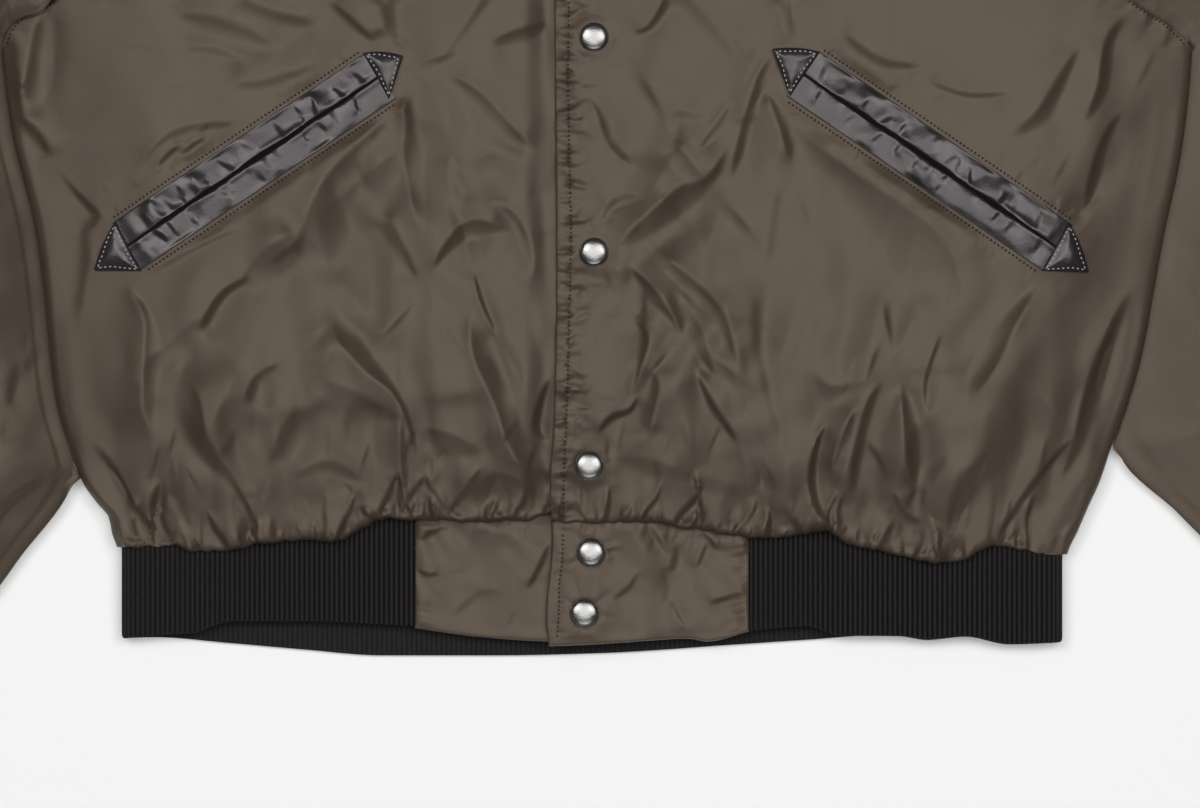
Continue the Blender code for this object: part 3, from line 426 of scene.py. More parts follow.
def creases(x, y, table):
    """Height that a table's creases add to a cloth."""
    total = np.zeros(x.shape)
    for fall, softness, *places in table:
        fall, softness = fall * DEEPER, softness * CRISPER
        line = spline(places, 1.4)
        heading = np.gradient(line[:, :2], axis=0)
        heading /= np.linalg.norm(heading, axis=1)[:, None]
        widest = line[:, 2].max()
        length = np.linalg.norm(np.diff(line[:, :2], axis=0), axis=1).sum()
        tail = min(1.0, 0.12 + length / 40)
        reach = tail * (18 + 2.5 * widest) + widest
        low, high = line[:, :2].min(axis=0) - reach, line[:, :2].max(axis=0) + reach
        near = (x > low[0]) & (x < high[0]) & (y > low[1]) & (y < high[1])
        if not near.any():
            continue
        dx, dy = x[near][:, None] - line[:, 0], y[near][:, None] - line[:, 1]
        square = dx**2 + dy**2
        weight = 1 / (square + 0.6) ** 3
        weight /= weight.sum(axis=1)[:, None]
        away = (weight * (dx * heading[:, 1] - dy * heading[:, 0])).sum(axis=1)
        along = weight @ np.linspace(0, 1, len(line))
        width = np.maximum(weight @ line[:, 2], 0.8)
        here = ease(0, 0.22, along) * ease(0, 0.22, 1 - along) * (width / widest) ** 0.6
        here *= 1 - ease(0.5 * reach, reach, np.sqrt(square.min(axis=1)))
        total[near] += here * fall_across(away, width, fall, softness, tail)
    return total


PLEAT_PLACES = ((-0.35, 0, 1), (0.2, 0, 1), (0.6, 1, 0.8), (1.0, 0, 0.4))  # share of length, bend, width


def pleats(seam, spacing, length, width, fall, seed):
    """Short creases that run from a seam into the cloth on its left, as rows of a crease table."""
    draw = np.random.default_rng(seed)
    line = sample_path(seam, 1.0)
    heading = np.gradient(line, axis=0)
    heading /= np.linalg.norm(heading, axis=1)[:, None]
    rows, at = [], draw.uniform(0, spacing)
    while at < len(line) - 1:
        place, ahead = line[int(at)], heading[int(at)]
        inward = np.array([-ahead[1], ahead[0]])
        reach, lean = length * draw.uniform(0.4, 1.5), draw.uniform(-0.5, 0.5)
        way = inward + lean * ahead
        bend = draw.uniform(-0.12, 0.12) * reach * ahead
        wide = width * draw.uniform(0.7, 1.4)
        row = [
            (*map(float, place + share * reach * way + bent * bend), narrow * wide)
            for share, bent, narrow in PLEAT_PLACES
        ]
        rows.append((fall * draw.uniform(0.4, 1.4), 0.4, *(row if draw.uniform() < 0.5 else row[::-1])))
        at += spacing * draw.uniform(0.5, 1.7)
    return rows


def gathers(along, away, spacing, reach, height, seed):
    """Small uneven humps along a seam, dying out with distance from it."""
    draw = np.random.default_rng(seed)
    low, high = float(np.min(along)), float(np.max(along))
    steps = draw.uniform(0.5, 1.5, int((high - low) / spacing * 1.3) + 8) * spacing
    knots = low - spacing + np.concatenate([[0], np.cumsum(steps)])
    i = np.clip(np.searchsorted(knots, along) - 1, 0, len(knots) - 2)
    t = np.clip((along - knots[i]) / (knots[i + 1] - knots[i]), 0, 1)
    tall, far = draw.uniform(0.35, 1.0, len(knots))[i], draw.uniform(0.5, 1.4, len(knots))[i]
    return height * tall * np.sin(math.pi * t) ** 0.7 * np.exp(-((away / (far * reach)) ** 2))


def slopes(height, cell):
    """Slopes of a grid of heights along its columns and its rows."""
    across = np.roll(height, -1, 1) - np.roll(height, 1, 1)
    up = np.roll(height, -1, 0) - np.roll(height, 1, 0)
    return across / (2 * cell), up / (2 * cell)


def buckle(start, slack, stiffness, cell, steps):
    """Lets a loose cloth settle into facets with crisp ridges, from a grid of small heights.

    slack is the spare length that the cloth takes up by its slopes: across, up and between the two.
    A stiffer cloth has rounder ridges.
    """
    pace, steady = 8.0, 0.9
    across = np.fft.rfftfreq(start.shape[1], cell)[None, :]
    up = np.fft.fftfreq(start.shape[0], cell)[:, None]
    wave = (2 * math.pi) ** 2 * (across**2 + up**2)
    resist = 1 + pace * (stiffness**2 * wave**2 + steady * wave)
    height = start
    for _ in range(steps):
        a, b = slopes(height, cell)
        steep = a**2 + b**2
        push = slopes(steep * a - slack[0] * a - slack[2] * b, cell)[0]
        push += slopes(steep * b - slack[2] * a - slack[1] * b, cell)[1]
        moved = np.fft.rfft2(height + pace * push) + pace * steady * wave * np.fft.rfft2(height)
        height = np.fft.irfft2(moved / resist, s=height.shape)
    return height


def cloth_grid(low, cell, columns, rows):
    """The places of an even grid from its low corner."""
    return np.meshgrid(low[0] + cell * np.arange(columns), low[1] + cell * np.arange(rows))


def blur(grid, width, cell):
    """A grid smoothed over a width."""
    across = np.fft.rfftfreq(grid.shape[1], cell)[None, :]
    up = np.fft.fftfreq(grid.shape[0], cell)[:, None]
    spread = np.exp(-((math.pi * width) ** 2) * (across**2 + up**2))
    return np.fft.irfft2(np.fft.rfft2(grid) * spread, s=grid.shape)


def sample_grid(grid, low, cell, x, y):
    """A grid's values at x, y. low is the place of its first corner."""
    u = np.clip((x - low[0]) / cell, 0, grid.shape[1] - 1.001)
    v = np.clip((y - low[1]) / cell, 0, grid.shape[0] - 1.001)
    i, j = u.astype(int), v.astype(int)
    u, v = u - i, v - j
    near = grid[j, i] * (1 - u) + grid[j, i + 1] * u
    far = grid[j + 1, i] * (1 - u) + grid[j + 1, i + 1] * u
    return near * (1 - v) + far * v


# ---------------------------------------------------------------- meshes


def add_mesh(name, points, faces, finish, sharp=50):
    """Adds a piece from points in the garment's millimetres, with its faces pointing out."""
    placed = (np.asarray(points, float) - (*ORIGIN, 0)) * MM
    quads = [f for f in faces if len(f) == 4]
    tris = [f for f in faces if len(f) == 3]
    volume = 0.0
    for group in (quads, tris):
        if group:
            a = placed[np.array(group)]
            for k in range(1, a.shape[1] - 1):
                volume += (a[:, 0] * np.cross(a[:, k], a[:, k + 1])).sum()
    if volume < 0:
        faces = [f[::-1] for f in faces]
    mesh = bpy.data.meshes.new(name)
    mesh.from_pydata(placed.tolist(), [], faces)
    mesh.materials.append(finish)
    mesh.shade_smooth()
    mesh.set_sharp_from_angle(angle=math.radians(sharp))
    return add_piece(name, mesh)


def add_object(name, data):
    made = bpy.data.objects.new(name, data)
    bpy.context.scene.collection.objects.link(made)
    return made


def add_piece(name, mesh):
    piece = add_object(name, mesh)
    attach(piece, "root")
    return piece


def grid_faces(rows, columns, start=0, closed=False):
    """Quads between a grid's points, as rows of four numbers."""
    wide = columns if closed else columns - 1
    row, column = np.meshgrid(np.arange(rows - 1), np.arange(wide), indexing="ij")
    a = start + row * columns + column
    b = start + row * columns + (column + 1) % columns
    return np.stack([a, b, b + columns, a + columns], axis=-1).reshape(-1, 4)


def rim_faces(outer, inner, step):
    """Faces between a fine line of points and a coarse one, which has one point for each step of them."""
    faces = []
    for k in range(len(inner) - 1):
        fine = outer[k * step : (k + 1) * step + 1]
        half = step // 2
        for m in range(step):
            faces.append([fine[m + 1], fine[m], inner[k] if m < half else inner[k + 1]])
            if m + 1 == half:
                faces.append([fine[m + 1], inner[k], inner[k + 1]])
        if half == 0:
            faces.append([fine[0], inner[k], inner[k + 1]])
    return faces


def shell(name, outer, inner, step, finish, closed=False):
    """A thin closed wall between a fine outer grid and an inner one that is step times coarser."""
    rows, columns, _ = outer.shape
    inner_rows, inner_columns, _ = inner.shape
    under = rows * columns
    faces = grid_faces(rows, columns, closed=closed).tolist()
    faces += grid_faces(inner_rows, inner_columns, under, closed)[:, ::-1].tolist()
    fine = np.arange(under).reshape(rows, columns)
    coarse = under + np.arange(inner_rows * inner_columns).reshape(inner_rows, inner_columns)
    if closed:
        fine, coarse = (np.concatenate([a, a[:, :1]], axis=1) for a in (fine, coarse))
    faces += rim_faces(fine[0].tolist(), coarse[0].tolist(), step)
    faces += rim_faces(fine[-1, ::-1].tolist(), coarse[-1, ::-1].tolist(), step)
    if not closed:
        faces += rim_faces(fine[::-1, 0].tolist(), coarse[::-1, 0].tolist(), step)
        faces += rim_faces(fine[:, -1].tolist(), coarse[:, -1].tolist(), step)
    points = np.concatenate([outer.reshape(-1, 3), inner.reshape(-1, 3)])
    return add_mesh(name, points, faces, finish)


def offset_inward(grid, step, thickness, closed=False):
    """A coarser copy of a grid, moved along its normals by a thickness."""
    around = np.roll(grid, -1, 1) - np.roll(grid, 1, 1) if closed else np.gradient(grid, axis=1)
    normal = np.cross(around, np.gradient(grid, axis=0))
    normal /= np.maximum(np.linalg.norm(normal, axis=2), 1e-9)[..., None]
    return (grid + normal * thickness)[::step, ::step]


def stations(length, spacing, multiple):
    """Evenly spaced shares of a length, whose number of steps is a multiple of a whole number."""
    count = max(1, round(length / spacing / multiple)) * multiple
    return np.linspace(0, 1, count + 1)


def sample_path(points, spacing):
    """Places at an even spacing along a line of points."""
    line = np.array(points, float)
    run = np.concatenate([[0], np.cumsum(np.linalg.norm(np.diff(line, axis=0), axis=1))])
    at = np.linspace(0, run[-1], max(2, int(run[-1] / spacing) + 1))
    return np.stack([np.interp(at, run, line[:, k]) for k in range(line.shape[1])], axis=1)


# ---------------------------------------------------------------- the cut's outline

EDGE_RIGHT, EDGE_LEFT = smooth(BODY_EDGE, 1), smooth(BODY_EDGE, 2)
HEIGHT = smooth(FRONT_HEIGHT)
PLACKET, STITCHED = smooth(PLACKET_EDGE), smooth(PLACKET_STITCH)
HEM = {-1: smooth(RIGHT_HEM), 1: smooth(LEFT_HEM)}


def half_width(side, y):
    """Distance from the centre front to the side seam or armhole. side is -1 on the right, 1 on the left."""
    return np.where(np.asarray(side) > 0, EDGE_LEFT(y), EDGE_RIGHT(y))


def neckline(x, low):
    return low + (NECK_Y - low) * (np.abs(x) / NECK_X) ** 2.4


def top_edge(x, low):
    """The neckline, and past it the shoulder."""
    shoulder = NECK_Y - (NECK_Y - SHOULDER_Y) * (np.abs(x) - NECK_X) / (SHOULDER_X - NECK_X)
    return np.where(np.abs(x) < NECK_X, neckline(np.minimum(np.abs(x), NECK_X), low), shoulder)


def back_waist(x):
    """The lower edge of the back, sewn to the rib."""
    return BACK_WAIST_Y - WAIST_DROP * x / WAIST_REACH


def side_fold_distance(side, x, y):
    """Distance from the folded side, which ends at the underarm."""
    beside = half_width(side, np.minimum(y, UNDERARM_Y)) - np.abs(x)
    return np.where(y <= UNDERARM_Y, beside, np.hypot(beside, y - UNDERARM_Y))


def shoulder_fold_distance(x, y, low):
    slant = math.cos(math.atan2(NECK_Y - SHOULDER_Y, SHOULDER_X - NECK_X))
    past_neck = (top_edge(x, low) - y) * slant
    return np.where(np.abs(x) > NECK_X, past_neck, np.hypot(NECK_X - np.abs(x), NECK_Y - y))


def band_top(side, x):
    """Outer height of the hem band: the left tab lies over the right one."""
    over = (SHELL + GAP) * (1 - ease(*TAB_SLOPE, x)) if side > 0 else 0.0
    return BAND_TOP + over


def lap_drop(side, x):
    """How far the right front lies below the left one's outer surface."""
    return LAP_DROP * (1 - ease(*LAP_SLOPE, -x)) if side < 0 else np.zeros(np.shape(x))


def hem_line(side, x):
    """The lower edge of a front, which wavers where it is sewn to the band."""
    slow, quick = drift(x, 0 * x, 13, 240 + side), drift(x, 0 * x, 5, 250 + side)
    return HEM[side](side * x) + 1.1 * slow + 1.0 * quick


# ---------------------------------------------------------------- fronts

# How a padded cloth rises from its fold: the share it rises at once, how far that takes, and where it is flat
FRONT_EDGE = {-1: (0.3, 12.0, 80.0), 1: (0.14, 5.0, 80.0)}
SLEEVE_EDGE = {-1: (0.06, 4.0, 38.0), 1: (0.06, 4.0, 80.0)}
HEM_STEP, HEM_ROLL = 0.4, 3.6  # the same over the hem seam
GRID_TOP = 350.0  # up to here a front's grid is fine
FINE, COARSE = 1.17, 5.0  # its cells below and above
STEP = 4  # how much coarser the wall's inner side is
HEM_Y, CHEST_HALF = 70, 310  # about, to tell how many cells a front has
ROUNDS = 14  # until a grid's places and the outline agree


def edge_rise(distance, step, width, flat):
    """How much of its full height a padded cloth has at a distance from a fold."""
    return step * roll(distance, width) + (1 - step) * ease(-10, flat, distance)


def slit_axes(pocket):
    """A pocket's slit: its outer end, its length, and the ways along it and up from it."""
    outer_end, inner_end = (np.array(p) for p in pocket["slit"])
    length = np.linalg.norm(inner_end - outer_end)
    along = (inner_end - outer_end) / length
    up = np.array([-along[1], along[0]]) * np.sign(along[0])
    return outer_end, length, along, up


CLOTH_CELL = 1.25
CLOTH_LOW = {-1: (-332.0, 40.0), 1: (-32.0, 40.0)}


def loose_front(side):
    """The small buckles of a front's cloth, as a grid of heights."""
    x, y = cloth_grid(CLOTH_LOW[side], CLOTH_CELL, 292, 480)
    a, b = slopes(creases(x, y, CREASES[side]), CLOTH_CELL)
    worked = blur(np.minimum(a**2 + b**2, 0.2), 16.0, CLOTH_CELL)
    hem = np.exp(-np.maximum(y - HEM[side](side * x), 0) / 26)
    placket = np.exp(-np.abs(x + 14) / 14) * (side > 0)
    patch = ease(-0.3, 0.7, drift(x, y, 80, 200 + side))
    quiet = 1 - 0.8 * ease(215, 300, y + 0.25 * np.abs(x)) + 0.5 * ease(350, 420, y)
    spare = (0.005 + 0.028 * patch) * quiet + 0.6 * np.clip(worked, 0, 0.07) + 0.07 * hem
    slack = (spare * (1 - 0.5 * placket), 0.55 * spare + 0.03 * placket, -0.2 * side * spare)
    start = 1.7 * drift(x, 0.6 * y, 44, 205 + side) + 0.9 * drift(x, 0.6 * y, 19, 215 + side)
    start += 0.4 * drift(x, y, 9, 225)
    return buckle(start, slack, stiffness=0.36, cell=CLOTH_CELL, steps=260)


def seam_detail(side, x, y, hem):
    """Puckers along the seams of a front, and the grooves that the seams lie in."""
    detail = np.zeros(x.shape)
    if side > 0:  # the front edge
        along = np.linspace(SEAM_FOOT, FRONT_NECK_Y - 5, 160)
        stitch = x - STITCHED(y)
        seam = np.stack([STITCHED(along), along], axis=1)
        ticks = pleats(seam, 3.4, 6.5, 1.6, 1.2, 11) + pleats(seam[::-1], 6.0, 10.0, 2.0, 1.1, 12)
        detail += creases(x, y, ticks)
        wavering = y + 1.5 * drift(x, y, 9, 5)
        detail += gathers(wavering, stitch, 4.5, 5.0, 0.8, 13) * ease(-1.5, 1.0, x - PLACKET(y))
        detail -= 0.7 * np.exp(-((stitch / 0.9) ** 2))
    # the hem
    hem_away = y - hem
    across = side * np.linspace(-24, 248, 160)
    seam = np.stack([across, HEM[side](side * across)], axis=1)[:: side]
    tucks = pleats(seam, 5.0, 8.0, 1.6, 1.5, 20 + side) + pleats(seam, 14.0, 24.0, 3.2, 2.8, 22 + side)
    detail += creases(x, y, tucks)
    inside = ease(60, 110, np.abs(x))
    lean = x + 0.25 * hem_away * drift(x, 0 * x, 26, 6)
    detail += (0.35 + 0.65 * inside) * gathers(lean, hem_away, 8.0, 15.0, 1.6, 30 + side)
    # the armhole
    armhole = half_width(side, y) - np.abs(x)
    above = ease(UNDERARM_Y - 4, UNDERARM_Y + 6, y)
    along = np.linspace(UNDERARM_Y, SHOULDER_Y, 120)
    seam = np.stack([side * half_width(side, along), along], axis=1)[:: side]
    detail += above * creases(x, y, pleats(seam, 5.0, 8.0, 1.8, 0.9, 50 + side))
    detail -= above * 0.8 * np.exp(-np.maximum(armhole, 0) / 1.2)
    return detail


def pocket_puckers(side):
    """Short creases round the pockets of a side."""
    rows = []
    for pocket in POCKETS.values():
        if pocket["side"] == side:
            ends, up = np.array(pocket["slit"]), slit_axes(pocket)[3]
            for sign in (-1, 1):
                seam = (ends + sign * POCKET_HALF * up)[:: -side * sign]
                rows += pleats(seam, 9.0, 7.0, 2.0, 0.6, 60 + sign)
    return rows


def under_pocket(side, x, y, height):
    """The cloth lies flatter under a pocket's leather."""
    for pocket in POCKETS.values():
        if pocket["side"] == side:
            outer_end, length, along, up = slit_axes(pocket)
            dx, dy = x - outer_end[0], y - outer_end[1]
            s, q = dx * along[0] + dy * along[1], dx * up[0] + dy * up[1]
            past = np.maximum(np.abs(s - length / 2) - length / 2 - POCKET_HALF, 0)
            away = np.hypot(past, np.maximum(np.abs(q) - POCKET_HALF, 0))
            height = height * (0.25 + 0.75 * ease(0, 8, away))
    return height


LOOSE = {-1: loose_front(-1), 1: loose_front(1)}


def front_height(side, x, y, hem, depth):
    """Height of a front at a depth in its wall."""
    drop = depth + lap_drop(side, x)
    # the broad form, lower at the front edge, the armhole and the neck
    lies = HEIGHT(y) - 2.5 * np.exp(-((x / 42) ** 2))
    at_armhole = 1 - ease(0, 34, half_width(side, y) - np.abs(x))
    lies = lies + (SLEEVE_TOP - lies) * at_armhole * ease(UNDERARM_Y - 10, UNDERARM_Y + 15, y)
    at_neck = (1 - ease(0, 30, top_edge(x, FRONT_NECK_Y) - y)) * (np.abs(x) < NECK_X + 10)
    lies = lies + (COLLAR_TOP - lies) * at_neck
    from_side = side_fold_distance(side, x, y) - drop
    from_shoulder = shoulder_fold_distance(x, y, FRONT_NECK_Y) - drop
    above = y - hem - drop
    # creases and puckers
    folds = creases(x, y, [*CREASES[side], *pocket_puckers(side)]) + 0.9 * drift(x, y, 70, 1)
    folds += sample_grid(LOOSE[side], CLOTH_LOW[side], CLOTH_CELL, x, y)
    folds = under_pocket(side, x, y, folds)
    free = ease(1, 10, from_side) * ease(0, 6, above) * (1 - at_neck) * ease(5, 20, from_shoulder)
    if side < 0:
        free = free * ease(LAP - 4, LAP + 6, np.abs(x))
    relief = folds * free + seam_detail(side, x, y, hem) * ease(2, 6, from_side)
    # flat seats under the snaps
    for number, (snap_x, snap_y) in enumerate(SNAPS, 1):
        if side > 0 and number > SNAPS_ON_TAB:
            away, around = np.hypot(x - snap_x, y - snap_y), np.arctan2(y - snap_y, x - snap_x)
            seat = np.exp(-((away / 11) ** 4))
            lies = lies + (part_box(f"snap_{number}")[0][2] / MM - GAP - lies) * seat
            relief = relief * (1 - seat)
            relief += gathers(8 * around, away - 8, 7.0, 6.0, 0.7, 70 + number) * ease(6, 9, away)
    # turned over the folds and over the hem
    lies = lies - drop
    level = FOLD_LEVEL + GAP
    turned = edge_rise(np.minimum(from_side, from_shoulder), *FRONT_EDGE[side])
    lies = level + (lies - level) * turned
    foot = np.minimum(band_top(side, x) + GAP, lies)
    turned = HEM_STEP * roll(above, HEM_ROLL) + (1 - HEM_STEP) * ease(-25, 80, above)
    lies = foot + (lies - foot) * turned
    over = lies - foot + relief * roll(from_side, 3.0) * roll(above, 3.0)
    return foot + (over + np.sqrt(over**2 + 2.0 * roll(above, 6.0))) / 2


def front_grid(side, rows, columns, depth):
    """Points of a front, hem to shoulder by centre to side. rows and columns are those of front_lines."""
    kind, value = (a[:, None] for a in rows)
    from_side, share = columns
    y = np.where(kind < 3, 60.0, 400.0) + 0 * share
    for _ in range(ROUNDS):
        edge = -PLACKET(y) if side > 0 else LAP
        outer = half_width(side, y) - depth * (1 - ease(UNDERARM_Y, UNDERARM_Y + 12, y))
        inner_span = -edge + share * (outer - FOLD_WIDTH + edge)
        x = side * np.where(share < 0, outer - from_side, inner_span)
        hem = hem_line(side, x)
        start = hem + depth + lap_drop(side, x)
        reach = top_edge(x, FRONT_NECK_Y) - depth * (np.abs(x) > NECK_X)
        fine = start + FOLD_WIDTH + value * (GRID_TOP - start - FOLD_WIDTH)
        coarse = GRID_TOP + value * (reach - GRID_TOP)
        y = np.where(kind == 1, start + value, np.where(kind == 2, fine, coarse))
    z = front_height(side, x, y, hem, depth)
    if side > 0:
        z = z - 1.4 * (1 - roll(x - PLACKET(y), 1.8)) * (depth == 0)
    return np.stack([x, y, z], axis=-1)


def front_lines():
    """Rows and columns of a front's grid, closer together where the cloth turns over an edge.

    A row is 1 and a height over the hem, 2 and a share of the fine part's height, or 3 and a share of the
    rest's. A column is 0 and a share of the way across, or a distance from the side and -1.
    """
    turned = FOLD_WIDTH * (1 - np.cos(np.linspace(0, math.pi / 2, 17)))
    fine = stations(GRID_TOP - HEM_Y - FOLD_WIDTH, FINE, STEP)[1:]
    coarse = stations(NECK_Y - GRID_TOP, COARSE, STEP)[1:]
    rows = [(1, d) for d in turned] + [(2, t) for t in fine] + [(3, t) for t in coarse]
    middle = stations(CHEST_HALF - FOLD_WIDTH + LAP, FINE, STEP)
    middle[1:4] = middle[1] * np.array([0.3, 0.8, 1.6])
    columns = [(0, t) for t in middle] + [(d, -1) for d in turned[-2::-1]]
    return np.array(rows, float).T, np.array(columns, float).T


def make_front(name, side):
    rows, columns = front_lines()
    outer = front_grid(side, rows, columns, 0.0)
    inner = front_grid(side, rows[:, ::STEP], columns[:, ::STEP], SHELL)
    piece = shell(name, outer, inner, STEP, NYLON)
    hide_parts(name)


# ---------------------------------------------------------------- back


def make_back():
    turned = UNDER_WIDTH * (1 - np.cos(np.linspace(0, math.pi / 2, 9)))
    main = np.linspace(0, 1, 73)
    columns = [(-1, d) for d in turned[:-1]] + [(0, t) for t in main] + [(1, d) for d in turned[-2::-1]]
    which, place = np.array(columns, float).T
    rows = [(1, t) for t in np.linspace(0, 1, 49)[:-1]] + [(2, t) for t in np.linspace(0, 1, 49)]
    kind, value = (a[:, None] for a in np.array(rows, float).T)

    def surface(depth):
        y = np.full((len(rows), len(columns)), UNDERARM_Y)
        for _ in range(ROUNDS):
            inset = depth * (1 - ease(UNDERARM_Y, UNDERARM_Y + 12, y))
            left, right = EDGE_LEFT(y) - inset, -EDGE_RIGHT(y) + inset
            low, high = right + UNDER_WIDTH, left - UNDER_WIDTH
            between = low + place * (high - low)
            x = np.where(which < 0, right + place, np.where(which > 0, left - place, between))
            reach = top_edge(x, BACK_NECK_Y) - depth * (np.abs(x) > NECK_X)
            waist = back_waist(x)
            above = UNDERARM_Y + value * (reach - UNDERARM_Y)
            y = np.where(kind == 1, waist + value * (UNDERARM_Y - waist), above)
        side = np.where(x > 0, 1, -1)
        near = np.minimum(side_fold_distance(side, x, y), shoulder_fold_distance(x, y, BACK_NECK_Y))
        turn = 1 - roll(near - depth, UNDER_WIDTH)
        wrinkle = 0.0 if depth == 0 else 0.9 * drift(x, y, 60, 7) + 0.4 * drift(x, y, 22, 8)
        return np.stack([x, y, depth + (FOLD_LEVEL - depth) * turn + wrinkle * (1 - turn)], axis=-1)

    piece = shell("back", surface(0.0), surface(SHELL), 1, NYLON)
    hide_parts("back")


# ---------------------------------------------------------------- sleeves and cuffs


def armhole_point(side, share):
    y = UNDERARM_Y + share * (SHOULDER_Y - UNDERARM_Y)
    return np.stack([side * (half_width(side, y) + SLEEVE_GAP), y], axis=-1)


def sleeve_plan(side, table, at, share):
    """Places of a sleeve in plan, for rings at along its table and shares of the way across each."""
    numbered = [(i, *row) for i, row in enumerate(table)]
    inner_x, inner_y, outer_x, outer_y, height, curve, bow = (smooth(numbered, k)(at) for k in range(1, 8))
    beside = side * (half_width(side, np.clip(inner_y, BODY_EDGE[0][0], UNDERARM_Y)) + SLEEVE_GAP)
    apart = side * (inner_x - beside)
    inner_x = inner_x - side * apart * (1 - ease(3.5, 7.0, apart))
    inner, outer = np.stack([inner_x, inner_y], axis=-1), np.stack([outer_x, outer_y], axis=-1)
    chord = outer - inner
    aside = side * np.stack([chord[..., 1], -chord[..., 0]], axis=-1)
    aside /= np.linalg.norm(chord, axis=-1)[..., None]
    first, last = armhole_point(side, 0.0), armhole_point(side, 1.0)
    bulge = armhole_point(side, share) - (first + share[..., None] * (last - first))
    place = inner + share[..., None] * chord + curve[..., None] * bulge
    place = place + (bow * 6.75 * share * (1 - share) ** 2)[..., None] * aside
    x, y = place[..., 0], place[..., 1]
    clear = half_width(side, np.clip(y, BODY_EDGE[0][0], SHOULDER_Y)) + SLEEVE_GAP
    x = np.where(y > BODY_EDGE[0][0], side * np.maximum(np.abs(x), clear), x)
    return x, y, height


SLEEVE_CELL = 1.5
SLEEVE_LOW = {-1: (-480.0, -15.0), 1: (250.0, -15.0)}
RING_APART, SLEEVE_WIDE = 28.0, 110.0  # about, at the cuff


def loose_sleeve(side):
    """The small buckles of a sleeve's cloth, as a grid of heights."""
    x, y = cloth_grid(SLEEVE_LOW[side], SLEEVE_CELL, 160, 420)
    spare = 0.008 + 0.05 * ease(-0.3, 0.7, drift(x, y, 80, 270 + side))
    start = 2.4 * drift(x, y, 42, 274 + side) + 0.9 * drift(x, y, 18, 278 + side)
    slack = (0.7 * spare, spare, 0.35 * side * spare)
    return buckle(start, slack, stiffness=0.42, cell=SLEEVE_CELL, steps=200)


def make_sleeve(name, side, table):
    rings = np.linspace(0, len(table) - 1, 193)[:, None]
    over = 0.5 - 0.5 * np.cos(np.linspace(0, math.pi, 113))
    beneath = 0.5 - 0.5 * np.cos(np.linspace(math.pi, 0, 49))[1:-1]
    share = np.concatenate([over, beneath])[None, :] + 0 * rings
    on_top = np.concatenate([np.ones(len(over)), np.zeros(len(beneath))])[None, :] > 0
    x, y, top = sleeve_plan(side, table, rings + 0 * share, share)
    folded = [np.stack([x[:, column], y[:, column]], axis=-1)[::4] for column in (0, len(over) - 1)]
    near = np.minimum(*(path_distance(x, y, line) for line in folded))
    lies = top + 0.9 * drift(x, y, 60, 9) + 0.4 * drift(x, y, 22, 10)
    seam = np.stack([x[0, : len(over)], y[0, : len(over)]], axis=-1)
    from_body = path_distance(x, y, seam)
    ends = ease(0, 14, from_body) * ease(0, 1.2, len(table) - 1 - rings)
    folds = creases(x, y, SLEEVE_CREASES)
    folds = folds + sample_grid(loose_sleeve(side), SLEEVE_LOW[side], SLEEVE_CELL, x, y)
    lies = lies + folds * ease(1, 10, near) * ends
    puckers = creases(x, y, pleats(seam[::-side], 4.0, 11.0, 1.8, 0.9, 80 + side)) * ease(1, 6, near)
    lies = lies + puckers - 0.6 * np.exp(-from_body)
    lies = lies - 0.6 * np.exp(-(((from_body - 9.5) / 0.9) ** 2))
    if side < 0:  # the underarm seam, which shows on this sleeve alone
        lies = lies - 1.8 * (1 - ease(7.2, 8.8, path_distance(x, y, folded[0])))
    from_cuff = (len(table) - 1 - rings) * RING_APART + 0 * share
    across = share * SLEEVE_WIDE
    lies = lies + gathers(across, from_cuff, 7.0, 16.0, 1.6, 90 + side) * ease(2, 9, near)
    over_z = FOLD_LEVEL + (lies - FOLD_LEVEL) * edge_rise(near, *SLEEVE_EDGE[side])
    under_z = FOLD_LEVEL * (1 - roll(near, UNDER_WIDTH))
    outer = np.stack([x, y, np.where(on_top, over_z, under_z)], axis=-1)
    inner = offset_inward(outer, STEP, side * SHELL, closed=True)
    inner[..., 2] = np.maximum(inner[..., 2], 0.3)
    piece = shell(name, outer, inner, STEP, NYLON, closed=True)
    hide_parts(name)


KNIT = 2.6  # from one rib of the knit to the next
RIB_COLUMNS = 6  # of faces, for each rib
RIB_DEEP = 1.7


def rib_groove(along):
    """How far the knit's surface lies under its ribs' crests."""
    return RIB_DEEP * (1 - np.abs(np.sin(math.pi * along / KNIT))) ** 1.3


def mark_ribs(piece, along, rows):
    """Gives a knitted piece a map whose first coordinate counts its ribs."""
    layer = piece.data.uv_layers.new(name="ribs")
    corner = np.empty(len(piece.data.loops), int)
    piece.data.loops.foreach_get("vertex_index", corner)
    column, row = corner % len(along), corner // len(along) % rows
    layer.data.foreach_set("uv", np.stack([along[column] / KNIT, row / rows], axis=1).ravel())


